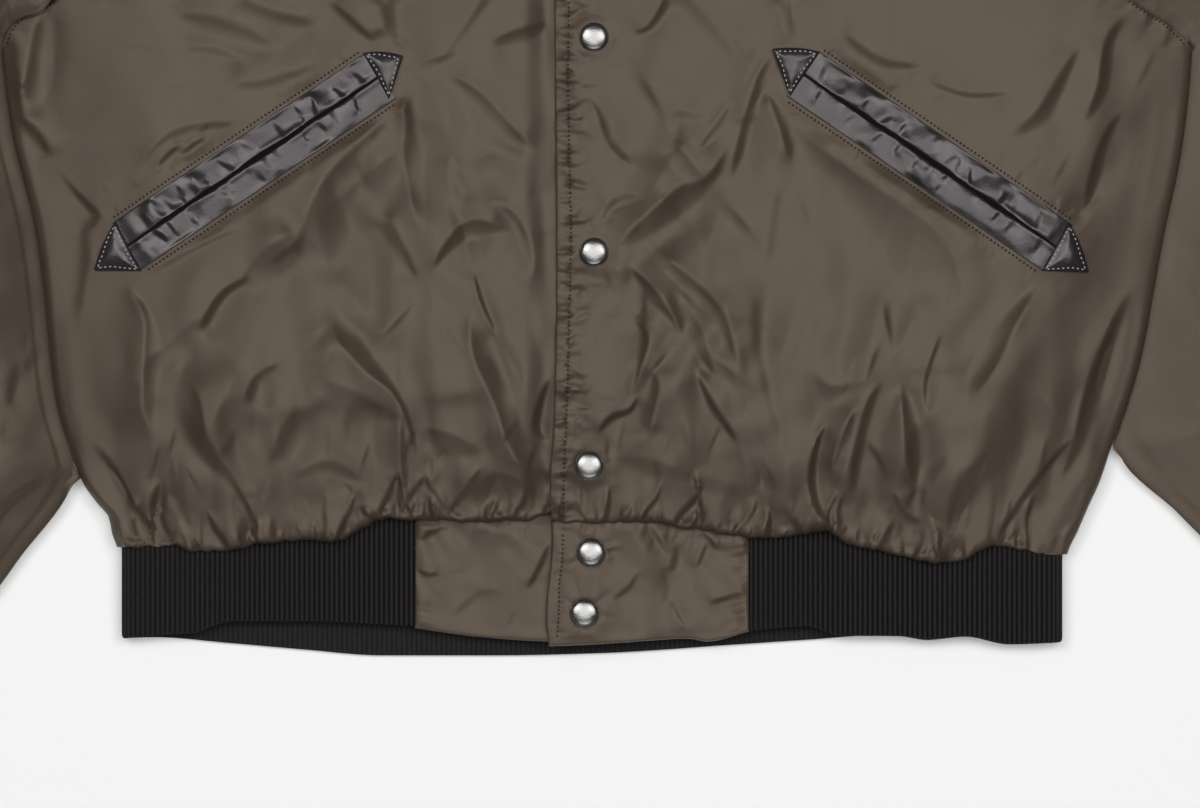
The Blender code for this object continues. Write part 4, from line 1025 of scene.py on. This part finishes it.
def make_cuff(name, table):
    inner_end, outer_end = (np.array(table[-1][i : i + 2], float) for i in (0, 2))
    across = (outer_end - inner_end) / np.linalg.norm(outer_end - inner_end)
    along = np.array([across[1], -across[0]])
    along = -along * np.sign(along[1])
    start = (inner_end + outer_end) / 2 + along * GAP
    radius = CUFF_TOP / 2
    straight, bend = 2 * (CUFF_HALF - radius), math.pi * radius
    whole = 2 * (straight + bend)
    ribs = round(whole / KNIT / 2) * 2
    run = np.arange(ribs * RIB_COLUMNS) * whole / (ribs * RIB_COLUMNS)
    lengths = CUFF_LENGTH * np.concatenate([[0, 0.01, 0.03], np.linspace(0.06, 0.94, 12), [0.97, 0.99, 1]])

    def ring_points(r, length):
        half = straight / 2
        turn = np.clip(run - straight, 0, bend) / radius
        back = np.clip(run - straight - bend, 0, straight)
        turn_back = np.clip(run - 2 * straight - bend, 0, bend) / radius
        angle = math.pi / 2 - turn - turn_back
        middle = -half + np.clip(run, 0, straight) - back
        aside = middle + r * np.cos(angle)
        xy = start + length * along + aside[:, None] * across
        return np.concatenate([xy, (radius + r * np.sin(angle))[:, None]], axis=1)

    def surface(depth, groove):
        rings = []
        for length in lengths:
            end = 1.2 * (1 - roll(min(length, CUFF_LENGTH - length), 1.8)) if depth == 0 else 0.0
            rings.append(ring_points(radius - depth - end - groove, length))
        return np.array(rings)

    outer = surface(0.0, rib_groove(run))
    piece = shell(name, outer, surface(RIB, 0.0), 1, KNITTED, closed=True)
    mark_ribs(piece, run, len(lengths))
    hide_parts(name)


# ---------------------------------------------------------------- hem band, collar and tabs


def band_path(right_end, left_start, fold, radius):
    """Columns of a band that runs from the right front round the back to the left front.

    Gives how far along each is, a function of the depth under the ribs' crests that gives x and z, and where
    it lies: 1 in front, -1 behind.
    """
    middle = fold - radius
    first, second, third = right_end + middle, 2 * middle, middle - left_start
    bend = math.pi * radius
    whole = first + second + third + 2 * bend
    count = round(whole / KNIT) * RIB_COLUMNS
    run = np.linspace(0, whole, count + 1)
    turn = np.clip(run - first, 0, bend) / radius
    turn_back = np.clip(run - first - bend - second, 0, bend) / radius
    angle = turn + turn_back
    centre = right_end - np.clip(run, 0, first) + np.clip(run - first - bend, 0, second)
    centre = centre - np.clip(run - first - 2 * bend - second, 0, third)
    where = np.cos(angle)

    def place(depth):
        return centre - (radius - depth) * np.sin(angle), radius + (radius - depth) * where

    return run, place, where


def make_band(name, right_end, left_start, fold, radius, edge):
    run, place, where = band_path(right_end, left_start, fold, radius)
    shares = np.concatenate([[0, 0.012, 0.035], np.linspace(0.08, 0.92, 10), [0.965, 0.988, 1]])
    groove = rib_groove(run) * (1 - 0.4 * (where < -0.99))

    def surface(depth, groove):
        rows = []
        for share in shares:
            end = 1.3 * (1 - roll(share, 0.05)) if depth == 0 else 0.0
            x, z = place(depth + end + groove)
            rows.append(np.stack(edge(x, share, where, z), axis=-1))
        return np.array(rows)

    piece = shell(name, surface(0.0, groove), surface(RIB, 0.0 * groove), 1, KNITTED)
    mark_ribs(piece, run, len(shares))
    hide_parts(name)


def hem_edge(x, share, where, z):
    """A point of the hem rib, whose upper edge is sewn under the fronts and against the back."""
    front_low = np.where(x < 0, smooth(RIB_FRONT_RIGHT)(x), smooth(RIB_FRONT_LEFT)(x))
    front_high = np.where(x < 0, HEM[-1](-x), HEM[1](x)) + SEWN_UNDER
    back_low, back_high = smooth(RIB_BACK)(x), back_waist(x) - GAP
    in_front = np.maximum(where, 0.0)
    low = in_front * front_low + (1 - in_front) * back_low
    high = np.where(where > 0.999, front_high, back_high)
    at_fold = ease(RIB_HALF - 14, RIB_HALF - 8, np.abs(x))
    high = high + (np.minimum(back_high, front_high - SHELL) - high) * at_fold
    return x, low + share * (high - low), z


def collar_edge(x, share, where, z):
    """A point of the collar, whose upper edge leans in."""
    from_middle = np.minimum(np.abs(x), NECK_X)
    mix = (1 + where) / 2
    front, back = (neckline(from_middle, low) for low in (FRONT_NECK_Y, BACK_NECK_Y))
    low = mix * front + (1 - mix) * back + COLLAR_GAP
    rise = COLLAR_HIGH - 4 * mix * (1 - from_middle / NECK_X) - 12 * ease(0.78, 1.0, from_middle / NECK_X)
    return x * (1 - 0.06 * share), low + share * rise, z


TAB_CELL, TAB_LOW = 1.0, (-104.0, -4.0)


def loose_tab():
    """The small buckles of the two tabs' cloth, as a grid of heights."""
    x, y = cloth_grid(TAB_LOW, TAB_CELL, 200, 90)
    seams = np.exp(-np.minimum(np.abs(x + 93), np.abs(x - 82)) / 9) + np.exp(-np.abs(y - 68) / 9)
    spare = 0.014 + 0.03 * ease(-0.4, 0.6, drift(x, y, 34, 260)) + 0.10 * seams
    start = 1.5 * drift(x, y, 27, 261) + 0.6 * drift(x, y, 10, 262)
    slack = (0.7 * spare, 0.7 * spare, 0.2 * spare)
    return buckle(start, slack, stiffness=0.3, cell=TAB_CELL, steps=160)


def make_tab(name, side, start, end, low_table):
    """A shell-cloth end of the hem band, under its front."""
    low_curve = smooth(low_table)
    turned = np.array([0, 0.3, 0.8, 1.6])
    across = np.concatenate([turned, np.linspace(2.8, end - start - 2.8, 86), end - start - turned[::-1]])
    across = np.interp(np.linspace(0, 1, 97), np.linspace(0, 1, len(across)), across)
    up = np.concatenate([[0, 0.006, 0.016, 0.03], np.linspace(0.05, 1, 61)])

    def surface(depth, across, up):
        station, share = np.meshgrid(start + across, up)
        x = station
        for _ in range(6):
            high = HEM[side](side * x) + lap_drop(side, x) + SEWN_UNDER
            low = low_curve(x)
            y = low + share * (high - low)
            if side > 0:
                x = station + (PLACKET(y) - start) * (1 - ease(start, start + 12, station))
        z = band_top(side, x) + 0 * y
        if depth == 0:
            from_low, from_end = y - low, np.minimum(x - x[:, :1], x[:, -1:] - x)
            loose = ease(0, 6, from_low) * ease(0, 5, from_end) * (1 - 0.6 * ease(-8, 0, y - high))
            folds = 0.8 * creases(x, y, TAB_CREASES) + sample_grid(loose_tab(), TAB_LOW, TAB_CELL, x, y)
            for snap_x, snap_y in SNAPS[:SNAPS_ON_TAB]:
                away, around = np.hypot(x - snap_x, y - snap_y), np.arctan2(y - snap_y, x - snap_x)
                folds = folds * (1 - np.exp(-((away / 9) ** 4)))
                if side > 0:
                    ring = gathers(8 * around, away - 8, 5.0, 8.0, 1.3, int(snap_y))
                    folds = folds + ring * ease(6, 9, away)
            puckers = gathers(x + 0.3 * (high - y), high - SEWN_UNDER - y, 4.5, 7.0, 1.3, 44 + side)
            at_rib = x[:, -1:] - x if side > 0 else x - x[:, :1]
            puckers += gathers(y + 0.2 * at_rib, at_rib, 4.0, 8.0, 1.0, 48 + side)
            if side > 0:
                stitch = x - STITCHED(y)
                puckers += gathers(y, stitch, 4.0, 5.0, 0.9, 46) - 0.5 * np.exp(-(stitch**2))
            else:
                loose = loose * ease(LAP - 6, LAP + 4, -x)
            z = z + (folds + puckers) * loose
            z = z - 1.5 * (1 - roll(np.minimum(from_low, from_end), 1.8))
        return np.stack([x, y, z - depth], axis=-1)

    outer, inner = surface(0.0, across, up), surface(SHELL, across[::STEP], up[::STEP])
    piece = shell(name, outer, inner, STEP, NYLON)
    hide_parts(name)
    return outer


def seam_on_tab(outer):
    """The front edge's line of stitches where it goes on down the left tab."""
    places = []
    for row in outer[5:-8]:
        x = STITCHED(row[0, 1])
        y, z = (np.interp(x, row[:, 0], row[:, k]) for k in (1, 2))
        places.append((x, y, z + STITCH_LIFT))
    return sample_path(places, STITCH_PITCH)


# ---------------------------------------------------------------- pockets


def front_surface(side, x, y):
    """Height of a front's outer surface."""
    return front_height(side, x, y, hem_line(side, x), 0.0)


LEATHER_CELL, LEATHER_LOW = 0.8, -4.0


def leather_buckles(seed):
    """How a strip of soft leather crumples, as a grid of heights along and across it."""
    far, across = cloth_grid((0, 0), LEATHER_CELL, 216, 30)
    spare = 0.014 + 0.07 * ease(-0.3, 0.7, drift(far, across, 30, seed))
    start = 1.8 * drift(far + 0.7 * across, 0.4 * across, 22, seed + 1)
    start += 0.6 * drift(far, 0.5 * across, 9, seed + 2)
    rucks = pleats([(-3.0, SLIT_HALF), (170.0, SLIT_HALF)], 11.0, 8.0, 3.0, 1.0, seed + 3)
    slack = (spare, 0.2 * spare, 0.25 * spare)
    crumpled = buckle(start, slack, stiffness=0.4, cell=LEATHER_CELL, steps=110)
    return crumpled + creases(far + LEATHER_LOW, across + LEATHER_LOW, rucks)


def make_welt(name, pocket, sign, seed):
    """One leather lip of a pocket."""
    outer_end, length, along, up = slit_axes(pocket)
    s = stations(length + 4, 0.9, 2) * (length + 4) - 2
    turned = 1 - np.cos(np.linspace(0, math.pi / 2, 7))
    reach = WELT_WIDTH + 0.3
    q = np.concatenate([SLIT_HALF + 2.4 * turned, np.linspace(SLIT_HALF + 3.2, SLIT_HALF + reach - 2.0, 8)])
    q = np.concatenate([q, SLIT_HALF + reach - 1.6 * turned[::-1]])
    near_end = np.clip(np.abs(2 * s / length - 1), 0, 1)
    wave = (0.5 * drift(s, 0 * s, 20, seed) + 0.2 * drift(s, 0 * s, 8, seed + 1)) * (1 - near_end**3)
    wave = wave - 0.5 - 0.8 * near_end**2.5
    across, far = np.meshgrid(q, s)
    lip = (1 - ease(SLIT_HALF, SLIT_HALF + 6, across)) * wave[:, None]
    place = outer_end + far[..., None] * along + (sign * (across + lip))[..., None] * up
    base = front_surface(pocket["side"], place[..., 0], place[..., 1])
    t = np.clip((across - SLIT_HALF) / reach, 0, 1)
    body = np.sqrt(np.clip(4 * t * (1 - t), 0, 1))
    crumple = sample_grid(leather_buckles(seed), (LEATHER_LOW, LEATHER_LOW), LEATHER_CELL, far, across)
    from_end = length / 2 - np.abs(far - length / 2)
    loose = body * ease(0, 2.6, SLIT_HALF + reach - across) * ease(-1, 9, from_end)
    turned_up = 0.7 * ease(-0.6, 0.4, drift(s, 0 * s, 30, seed + 5))[:, None]
    raised = 1.2 + 0.9 * (1 - t) * body + turned_up * (1 - ease(0.9, 3.4, across - SLIT_HALF))
    edge = 0.9 * (1 - roll(across - SLIT_HALF, 0.5)) + 0.3 * (1 - roll(SLIT_HALF + reach - across, 1.2))
    z = np.maximum(base + raised + crumple * loose - edge, base + 0.15)
    outer = np.stack([place[..., 0], place[..., 1], z], axis=-1)
    under = np.stack([place[..., 0], place[..., 1], np.minimum(base - 0.2, z - 0.4)], axis=-1)[::2]
    piece = shell_rows(name, outer, under, LEATHERED)
    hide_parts(name)


def shell_rows(name, outer, inner, finish):
    """A closed wall whose inner grid has every second row of the outer one and all its columns."""
    full = np.empty((outer.shape[0], *inner.shape[1:]))
    full[::2] = inner
    full[1::2] = (inner[:-1] + inner[1:]) / 2
    return shell(name, outer, full, 1, finish)


def make_slit(name, pocket):
    """The mouth between a pocket's two lips: a strip of the pocket bag, coloured near black as painted shade.
    """
    outer_end, length, along, up = slit_axes(pocket)
    s, q = np.linspace(0, length, 120), -pocket["side"] * np.linspace(-SLIT_HALF - 2.2, SLIT_HALF + 2.2, 6)
    across, far = np.meshgrid(q, s)
    place = outer_end + far[..., None] * along + across[..., None] * up
    base = front_surface(pocket["side"], place[..., 0], place[..., 1]) + 0.35
    top = np.stack([place[..., 0], place[..., 1], base + 0.25 * np.cos(across)], axis=-1)
    return shell(name, top, top - (0, 0, 0.5), 1, PAINTED_SHADE_BAG)


def triangle(corners, rows, columns, bow):
    """A grid over an arrow: its base's two corners and its tip, with the far side bowed out."""
    first, second, tip = (np.array(p, float) for p in corners)
    middle, side = (first + second) / 2, second - first
    share, across = np.meshgrid(np.linspace(0, 1, rows), np.linspace(0, 1, columns), indexing="ij")
    centre = middle + share[..., None] * (tip - middle)
    grid = centre + (first + across[..., None] * side - middle) * (1 - 0.97 * share)[..., None]
    bulge = bow * 4 * share * (1 - share) * across
    return grid + bulge[..., None] * side / np.linalg.norm(side)


def make_arrow(name, pocket, corners, seed):
    """The triangle of leather over an end of a pocket. Gives the line that its stitches lie along."""
    grid = triangle(corners, 33, 33, 1.6)
    outline = np.concatenate([grid[:, 0], grid[-1, 1:], grid[::-1, -1][1:], grid[0, ::-1][1:]])

    def top(x, y):
        inside = path_distance(x, y, outline)
        dome = 1.8 * (1 - (1 - np.clip(inside / 7.5, 0, 1)) ** 2) - 0.7 * (1 - roll(inside, 0.8))
        crumple = (0.8 * drift(x, y, 15, seed) + 0.25 * drift(x, y, 6, seed + 1)) * ease(0.5, 4, inside)
        return front_surface(pocket["side"], x, y) + 2.7 + dome + crumple

    x, y = grid[..., 0], grid[..., 1]
    outer = np.stack([x, y, top(x, y)], axis=-1)
    under = np.stack([x, y, front_surface(pocket["side"], x, y) + 0.3], axis=-1)
    piece = shell(name, outer, under, 1, LEATHERED)
    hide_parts(name)
    centre = outline.mean(axis=0)
    inset = centre + (outline - centre) * (1 - 2.1 / np.linalg.norm(outline - centre, axis=1))[:, None]
    places = sample_path(inset, 2.6)
    return np.column_stack([places, top(places[:, 0], places[:, 1]) + 0.2])


# ---------------------------------------------------------------- stitches and snaps


def make_stitches(name, rows, finish, length, thick):
    """Threads lying on a surface. rows holds lines of x, y, z; there is one between each two places."""
    turns, rings = 6, ((-0.5, 0.25), (-0.38, 0.85), (0.38, 0.85), (0.5, 0.25))
    points, faces = [], []
    for row in rows:
        middle = (row[1:] + row[:-1]) / 2
        heading = row[1:] - row[:-1]
        heading /= np.linalg.norm(heading, axis=1)[:, None]
        aside = np.cross(heading, (0, 0, 1.0))
        aside /= np.linalg.norm(aside, axis=1)[:, None]
        lift = np.cross(aside, heading)
        for centre, ahead, sideways, up in zip(middle, heading, aside, lift):
            start = len(points)
            for at, wide in rings:
                for turn in range(turns):
                    angle = 2 * math.pi * turn / turns
                    offset = wide * thick * (math.cos(angle) * sideways + math.sin(angle) * up)
                    points.append(centre + at * length * ahead + offset)
            for ring in range(len(rings) - 1):
                for turn in range(turns):
                    a, b = start + ring * turns + turn, start + ring * turns + (turn + 1) % turns
                    faces.append([a, b, b + turns, a + turns])
            faces.append([start + turn for turn in range(turns)][::-1])
            faces.append([start + (len(rings) - 1) * turns + turn for turn in range(turns)])
    return add_joined(name, np.array(points), faces, finish)


def add_joined(name, points, faces, finish):
    """Many small closed shapes as one piece; their faces already point out."""
    placed = (points - (*ORIGIN, 0)) * MM
    mesh = bpy.data.meshes.new(name)
    mesh.from_pydata(placed.tolist(), [], faces)
    mesh.materials.append(finish)
    mesh.shade_smooth()
    return add_piece(name, mesh)


def on_front(side, line, pitch, lift):
    """A line of stitches' ends on a front."""
    places = sample_path(line, pitch)
    z = front_surface(side, places[:, 0], places[:, 1]) + lift
    return np.column_stack([places, z])


# Distance from its axis, height: round the section of a snap's cap
SNAP_PROFILE = (
    (0.0, 3.6), (1.2, 3.57), (2.6, 3.46), (4.0, 3.24), (5.2, 2.95), (6.0, 2.66), (6.5, 2.38), (6.85, 2.0),
    (7.1, 1.5), (7.2, 1.0), (7.25, 0.75), (7.55, 0.65), (7.62, 0.4), (7.5, 0.1), (7.3, 0.0), (4.0, 0.0),
    (0.0, 0.0),
)  # fmt: skip
SNAP_SIDES = 72


def make_snap(number):
    low, high = (np.array(corner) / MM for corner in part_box(f"snap_{number}"))
    x, y = (low[:2] + high[:2]) / 2 + ORIGIN
    points, faces = [(x, y, low[2] + SNAP_PROFILE[0][1])], []
    for r, z in SNAP_PROFILE[1:-1]:
        for step in range(SNAP_SIDES):
            angle = 2 * math.pi * step / SNAP_SIDES
            points.append((x + r * math.cos(angle), y + r * math.sin(angle), low[2] + z))
    points.append((x, y, low[2]))
    last = len(SNAP_PROFILE) - 3
    for step in range(SNAP_SIDES):
        after = (step + 1) % SNAP_SIDES
        faces.append([0, 1 + step, 1 + after])
        faces.append([len(points) - 1, 1 + last * SNAP_SIDES + after, 1 + last * SNAP_SIDES + step])
        for ring in range(last):
            a, b = 1 + ring * SNAP_SIDES + step, 1 + ring * SNAP_SIDES + after
            faces.append([a, a + SNAP_SIDES, b + SNAP_SIDES, b])
    piece = add_mesh(f"snap_{number}", points, faces, NICKEL, sharp=60)
    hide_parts(f"snap_{number}")


# ---------------------------------------------------------------- finishes


class Value:
    """A socket in a material's node tree. Arithmetic on it adds Math nodes."""

    def __init__(self, finish, socket):
        self.finish, self.socket = finish, socket

    def math(self, operation, *values):
        made = self.finish.node("ShaderNodeMath", {"operation": operation}, dict(enumerate(values)))
        return Value(self.finish, made.outputs[0])

    def __add__(self, other):
        return self.math("ADD", self, other)

    def __sub__(self, other):
        return self.math("SUBTRACT", self, other)

    def __rsub__(self, other):
        return self.math("SUBTRACT", other, self)

    def __mul__(self, other):
        return self.math("MULTIPLY", self, other)

    __radd__, __rmul__ = __add__, __mul__


class Finish:
    """A material in the making."""

    def __init__(self, name, **settings):
        self.material = bpy.data.materials.new(name)
        self.material.use_nodes = True
        self.tree = self.material.node_tree
        self.shader = self.tree.nodes["Principled BSDF"]
        for socket, value in settings.items():
            self.shader.inputs[socket.replace("_", " ")].default_value = value

    def node(self, kind, settings=None, inputs=None):
        """A node of a kind, with its settings, and the values or links of its sockets."""
        made = self.tree.nodes.new(kind)
        for name, value in (settings or {}).items():
            setattr(made, name, value)
        for name, value in (inputs or {}).items():
            self.feed(made.inputs[name], value)
        return made

    def feed(self, socket, value):
        if isinstance(value, Value):
            self.tree.links.new(value.socket, socket)
        else:
            socket.default_value = value

    def out(self, made, name=0):
        return Value(self, made.outputs[name])

    def place(self, scale=(1, 1, 1)):
        """Places on the piece, in metres times a scale along each axis."""
        where = self.out(self.node("ShaderNodeTexCoord"), "Object")
        return self.out(self.node("ShaderNodeVectorMath", {"operation": "MULTIPLY"}, {0: where, 1: scale}))

    def unevenness(self, scale, detail=2.0, rough=0.5, at=None):
        """Random unevenness from 0 to 1, with this many features to the metre."""
        sockets = {"Vector": at or self.place(), "Scale": scale, "Detail": detail, "Roughness": rough}
        return self.out(self.node("ShaderNodeTexNoise", None, sockets), 0)

    def between(self, share, first, second):
        """A colour between two."""
        sockets = {0: share, 6: first, 7: second}
        return self.out(self.node("ShaderNodeMix", {"data_type": "RGBA", "clamp_factor": True}, sockets), 2)

    def relief(self, height, strength, distance):
        """Lets a height in 0 to 1 stand for relief of a distance in metres."""
        sockets = {"Height": height, "Strength": strength, "Distance": distance}
        bump = self.node("ShaderNodeBump", None, sockets)
        self.feed(self.shader.inputs["Normal"], self.out(bump, "Normal"))

    def colour(self, value):
        self.feed(self.shader.inputs["Base Color"], value)

    def roughness(self, value):
        self.feed(self.shader.inputs["Roughness"], value)


def shell_nylon():
    """Satin nylon with a close twill and slight shade changes."""
    made = Finish("shell_nylon", Specular_IOR_Level=0.68, Specular_Tint=(1.0, 0.83, 0.70, 1))
    broad = made.unevenness(14, 3, 0.55)
    fine = made.unevenness(420, 2, 0.6)
    crinkle = made.unevenness(210, 3, 0.6)
    lit = (*NYLON_COLOUR, 1)
    deep = (*(c * 0.84 for c in NYLON_COLOUR), 1)
    speckle = made.unevenness(1300, 1, 0.5)
    made.colour(made.between(broad * 0.7 + fine * 0.3 + speckle * 0.5 - 0.15, deep, lit))
    made.roughness(0.4 + 0.12 * fine)
    twill = {"Vector": made.place((1900, 1300, 1300)), "Scale": 1.0}
    weave = made.out(made.node("ShaderNodeTexWave", {"bands_direction": "DIAGONAL"}, twill), 1)
    grain = made.unevenness(1500, 1, 0.5)
    made.relief(0.35 * weave + 0.5 * grain + 1.1 * crinkle, 0.38, 0.00025)
    return made.material


def rib_knit():
    """Dark rib with painted shade in the grooves between its ribs, so its crests read lighter, and brown
    flecks along its wales.
    """
    made = Finish("rib_knit", Specular_IOR_Level=0.2)
    count = made.node("ShaderNodeSeparateXYZ", None, {0: made.out(made.node("ShaderNodeTexCoord"), "UV")})
    # painted shade: this share is near 1 on each rib's crest and near 0 in the grooves between ribs
    crest_against_groove_shade = made.out(count, 0).math("SINE", made.out(count, 0) * math.pi)
    crest_against_groove_shade = crest_against_groove_shade.math("ABSOLUTE", crest_against_groove_shade)
    stretched = made.place((900, 260, 900))
    flecks = made.unevenness(1.0, 3, 0.7, stretched)
    loops = made.unevenness(1400, 1, 0.5)
    lit = made.between((flecks - 0.5) * 3.0, (0.018, 0.0165, 0.0175, 1), (0.032, 0.0245, 0.0205, 1))
    # painted shade: the grooves between the ribs take the darker colour, the crests the lighter one
    made.colour(made.between(crest_against_groove_shade * 1.1 - 0.1, (0.008, 0.0075, 0.0082, 1), lit))
    made.roughness(0.82 + 0.12 * loops)
    made.relief(loops + flecks, 0.6, 0.0004)
    return made.material


def pocket_leather():
    """Glossy dark leather with a fine grain."""
    made = Finish("pocket_leather", Specular_IOR_Level=0.6, Specular_Tint=(1.0, 0.93, 0.93, 1))
    grain = made.out(made.node("ShaderNodeTexVoronoi", None, {"Vector": made.place(), "Scale": 900.0}), 0)
    soft = made.unevenness(260, 3, 0.6)
    scuffed = made.unevenness(60, 4, 0.6)
    made.colour(made.between(scuffed, (0.011, 0.009, 0.0105, 1), (0.024, 0.0205, 0.0225, 1)))
    made.roughness(0.24 + 0.14 * scuffed)
    made.relief(0.5 * grain + soft, 0.3, 0.0002)
    return made.material


def painted_shade_pocket_bag():
    made = Finish("pocket_bag_painted_shade", Specular_IOR_Level=0.1)
    fine = made.unevenness(900, 2, 0.5)
    # painted shade: the pocket bag gets a near-black colour that stands for the shade inside the slit
    made.colour(made.between(fine, (0.003, 0.003, 0.003, 1), (0.007, 0.006, 0.006, 1)))
    made.roughness(0.9 + 0.05 * fine)
    made.relief(fine, 0.3, 0.0002)
    return made.material


def polished_nickel():
    made = Finish("polished_nickel", Metallic=1.0)
    haze = made.unevenness(350, 3, 0.6)
    fine = made.unevenness(2600, 2, 0.5)
    made.colour(made.between(haze, (0.22, 0.217, 0.213, 1), (0.31, 0.306, 0.30, 1)))
    made.roughness(0.17 + 0.14 * haze)
    made.relief(fine + made.unevenness(800, 1, 0.5), 0.25, 0.0002)
    return made.material


def thread(name, dark, light):
    made = Finish(name, Specular_IOR_Level=0.35)
    twist = made.unevenness(2400, 1, 0.5)
    made.colour(made.between(twist, (*dark, 1), (*light, 1)))
    made.roughness(0.5 + 0.15 * twist)
    made.relief(twist, 0.5, 0.0001)
    return made.material


def floor_finish():
    made = Finish("pale_floor", Specular_IOR_Level=0.1, Emission_Color=(1, 1, 1, 1), Emission_Strength=0.08)
    faint = made.unevenness(3, 2, 0.5)
    made.colour(made.between(faint, (0.905, 0.905, 0.905, 1), (0.92, 0.92, 0.92, 1)))
    made.roughness(0.9 + 0.05 * faint)
    return made.material


# ---------------------------------------------------------------- the whole

NYLON_COLOUR = (0.0605, 0.0443, 0.0308)
NYLON, KNITTED, LEATHERED = shell_nylon(), rib_knit(), pocket_leather()
PAINTED_SHADE_BAG, NICKEL = painted_shade_pocket_bag(), polished_nickel()
SHELL_THREAD = thread("shell_thread", (0.009, 0.0065, 0.0045), (0.022, 0.016, 0.011))
PALE_THREAD = thread("pale_thread", (0.28, 0.285, 0.30), (0.50, 0.50, 0.52))


def make_pockets():
    pale, brown = [], []
    for number, (word, pocket) in enumerate(POCKETS.items()):
        side = pocket["side"]
        make_welt(f"pocket_{word}_upper_welt", pocket, 1, 100 + 20 * number)
        make_welt(f"pocket_{word}_lower_welt", pocket, -1, 110 + 20 * number)
        make_slit(f"pocket_{word}_slit", pocket)
        for kind in ("outer", "inner"):
            corners = pocket[f"{kind}_arrow"]
            seed = 150 + 10 * number + len(kind)
            pale.append(make_arrow(f"pocket_{word}_{kind}_arrow", pocket, corners, seed))
        ends, up = np.array(pocket["slit"]), slit_axes(pocket)[3]
        for sign in (-1, 1):
            shift = sign * (SLIT_HALF + WELT_WIDTH + 2.4) * up
            brown.append(on_front(side, ends + shift, STITCH_PITCH, STITCH_LIFT))
    make_stitches("arrow_stitches", pale, PALE_THREAD, length=1.3, thick=0.4)
    make_stitches("welt_stitches", brown, SHELL_THREAD, length=1.0, thick=0.58)


def make_topstitching(on_tab):
    y = np.linspace(SEAM_FOOT, FRONT_NECK_Y - 4, 120)
    rows = [on_front(1, np.stack([STITCHED(y), y], axis=1), STITCH_PITCH, STITCH_LIFT), on_tab]
    for side in (-1, 1):
        y = np.linspace(UNDERARM_Y + 3, SHOULDER_Y - 6, 90)
        armhole = np.stack([side * (half_width(side, y) - ARMHOLE_IN), y], axis=1)
        rows.append(on_front(side, armhole, ARMHOLE_PITCH, ARMHOLE_LIFT))
    make_stitches("front_topstitching", rows, SHELL_THREAD, length=1.0, thick=0.52)


def make_garment():
    make_back()
    make_front("front_right", -1)
    make_front("front_left", 1)
    make_sleeve("sleeve_right", -1, RIGHT_SLEEVE)
    make_sleeve("sleeve_left", 1, LEFT_SLEEVE)
    make_cuff("cuff_right", RIGHT_SLEEVE)
    make_cuff("cuff_left", LEFT_SLEEVE)
    make_band("hem_rib", TAB_RIGHT_X - GAP, TAB_LEFT_X + GAP, RIB_HALF, BAND_TOP / 2, hem_edge)
    make_band("collar", -1, 1, NECK_X, COLLAR_TOP / 2, collar_edge)
    make_tab("hem_tab_right", -1, TAB_RIGHT_X, LAP, TAB_RIGHT_HEM)
    left_tab = make_tab("hem_tab_left", 1, -22.0, TAB_LEFT_X, TAB_LEFT_HEM)
    make_pockets()
    make_topstitching(seam_on_tab(left_tab))
    for number in range(1, len(SNAPS) + 1):
        make_snap(number)


def lamp(name, place, aim, shape, size, power, colour):
    light = bpy.data.lights.new(name, "AREA")
    light.shape, light.size, light.size_y = shape, *size
    light.energy, light.color = power, colour
    made = add_object(name, light)
    made.location = place
    direction = np.array(aim, float) - np.array(place, float)
    made.rotation_euler = Vector(direction).to_track_quat("-Z", "Y").to_euler()


VIEWED = (4.2, 131.6)  # the place on the garment that the camera looks at
FLOOR_HALF = 6.0  # metres


def make_studio():
    centre = tuple((VIEWED[k] - ORIGIN[k]) * MM for k in (0, 1))
    corners = [(a * FLOOR_HALF, b * FLOOR_HALF, 0) for a, b in ((-1, -1), (1, -1), (1, 1), (-1, 1))]
    mesh = bpy.data.meshes.new("floor")
    mesh.from_pydata(corners, [], [(0, 1, 2, 3)])
    mesh.materials.append(floor_finish())
    floor = add_object("floor", mesh)
    lamp("left", (-1.3, 0.6, 2.6), (*centre, 0), "RECTANGLE", (1.4, 1.0), 23, (1.0, 0.985, 0.97))
    lamp("right", (1.3, 0.4, 2.6), (*centre, 0), "RECTANGLE", (1.4, 1.0), 20, (1.0, 0.99, 0.98))
    lamp("front", (0.1, -2.0, 2.1), (*centre, 0), "RECTANGLE", (1.8, 0.8), 9, (0.98, 0.99, 1.0))
    lamp("overhead", (0, 0.1, 4.3), (*centre, 0), "ELLIPSE", (3.4, 3.4), 78, (1.0, 1.0, 1.0))
    world = bpy.data.worlds.new("studio")
    world.use_nodes = True
    background = world.node_tree.nodes["Background"]
    background.inputs["Color"].default_value = (0.95, 0.97, 1.0, 1)
    background.inputs["Strength"].default_value = 0.08
    bpy.context.scene.world = world
    bpy.context.scene.view_settings.view_transform = "Standard"
    camera = bpy.data.cameras.new("camera")
    distance, field, lies_at = 4.0, 0.624, 0.03  # metres: the camera's height, the width seen, the cloth's
    camera.sensor_width = 36.0
    camera.lens = camera.sensor_width * (distance - lies_at) / field
    camera.clip_end = 50
    placed = add_object("camera", camera)
    placed.location = (*centre, distance)
    bpy.context.scene.camera = placed


make_garment()
make_studio()
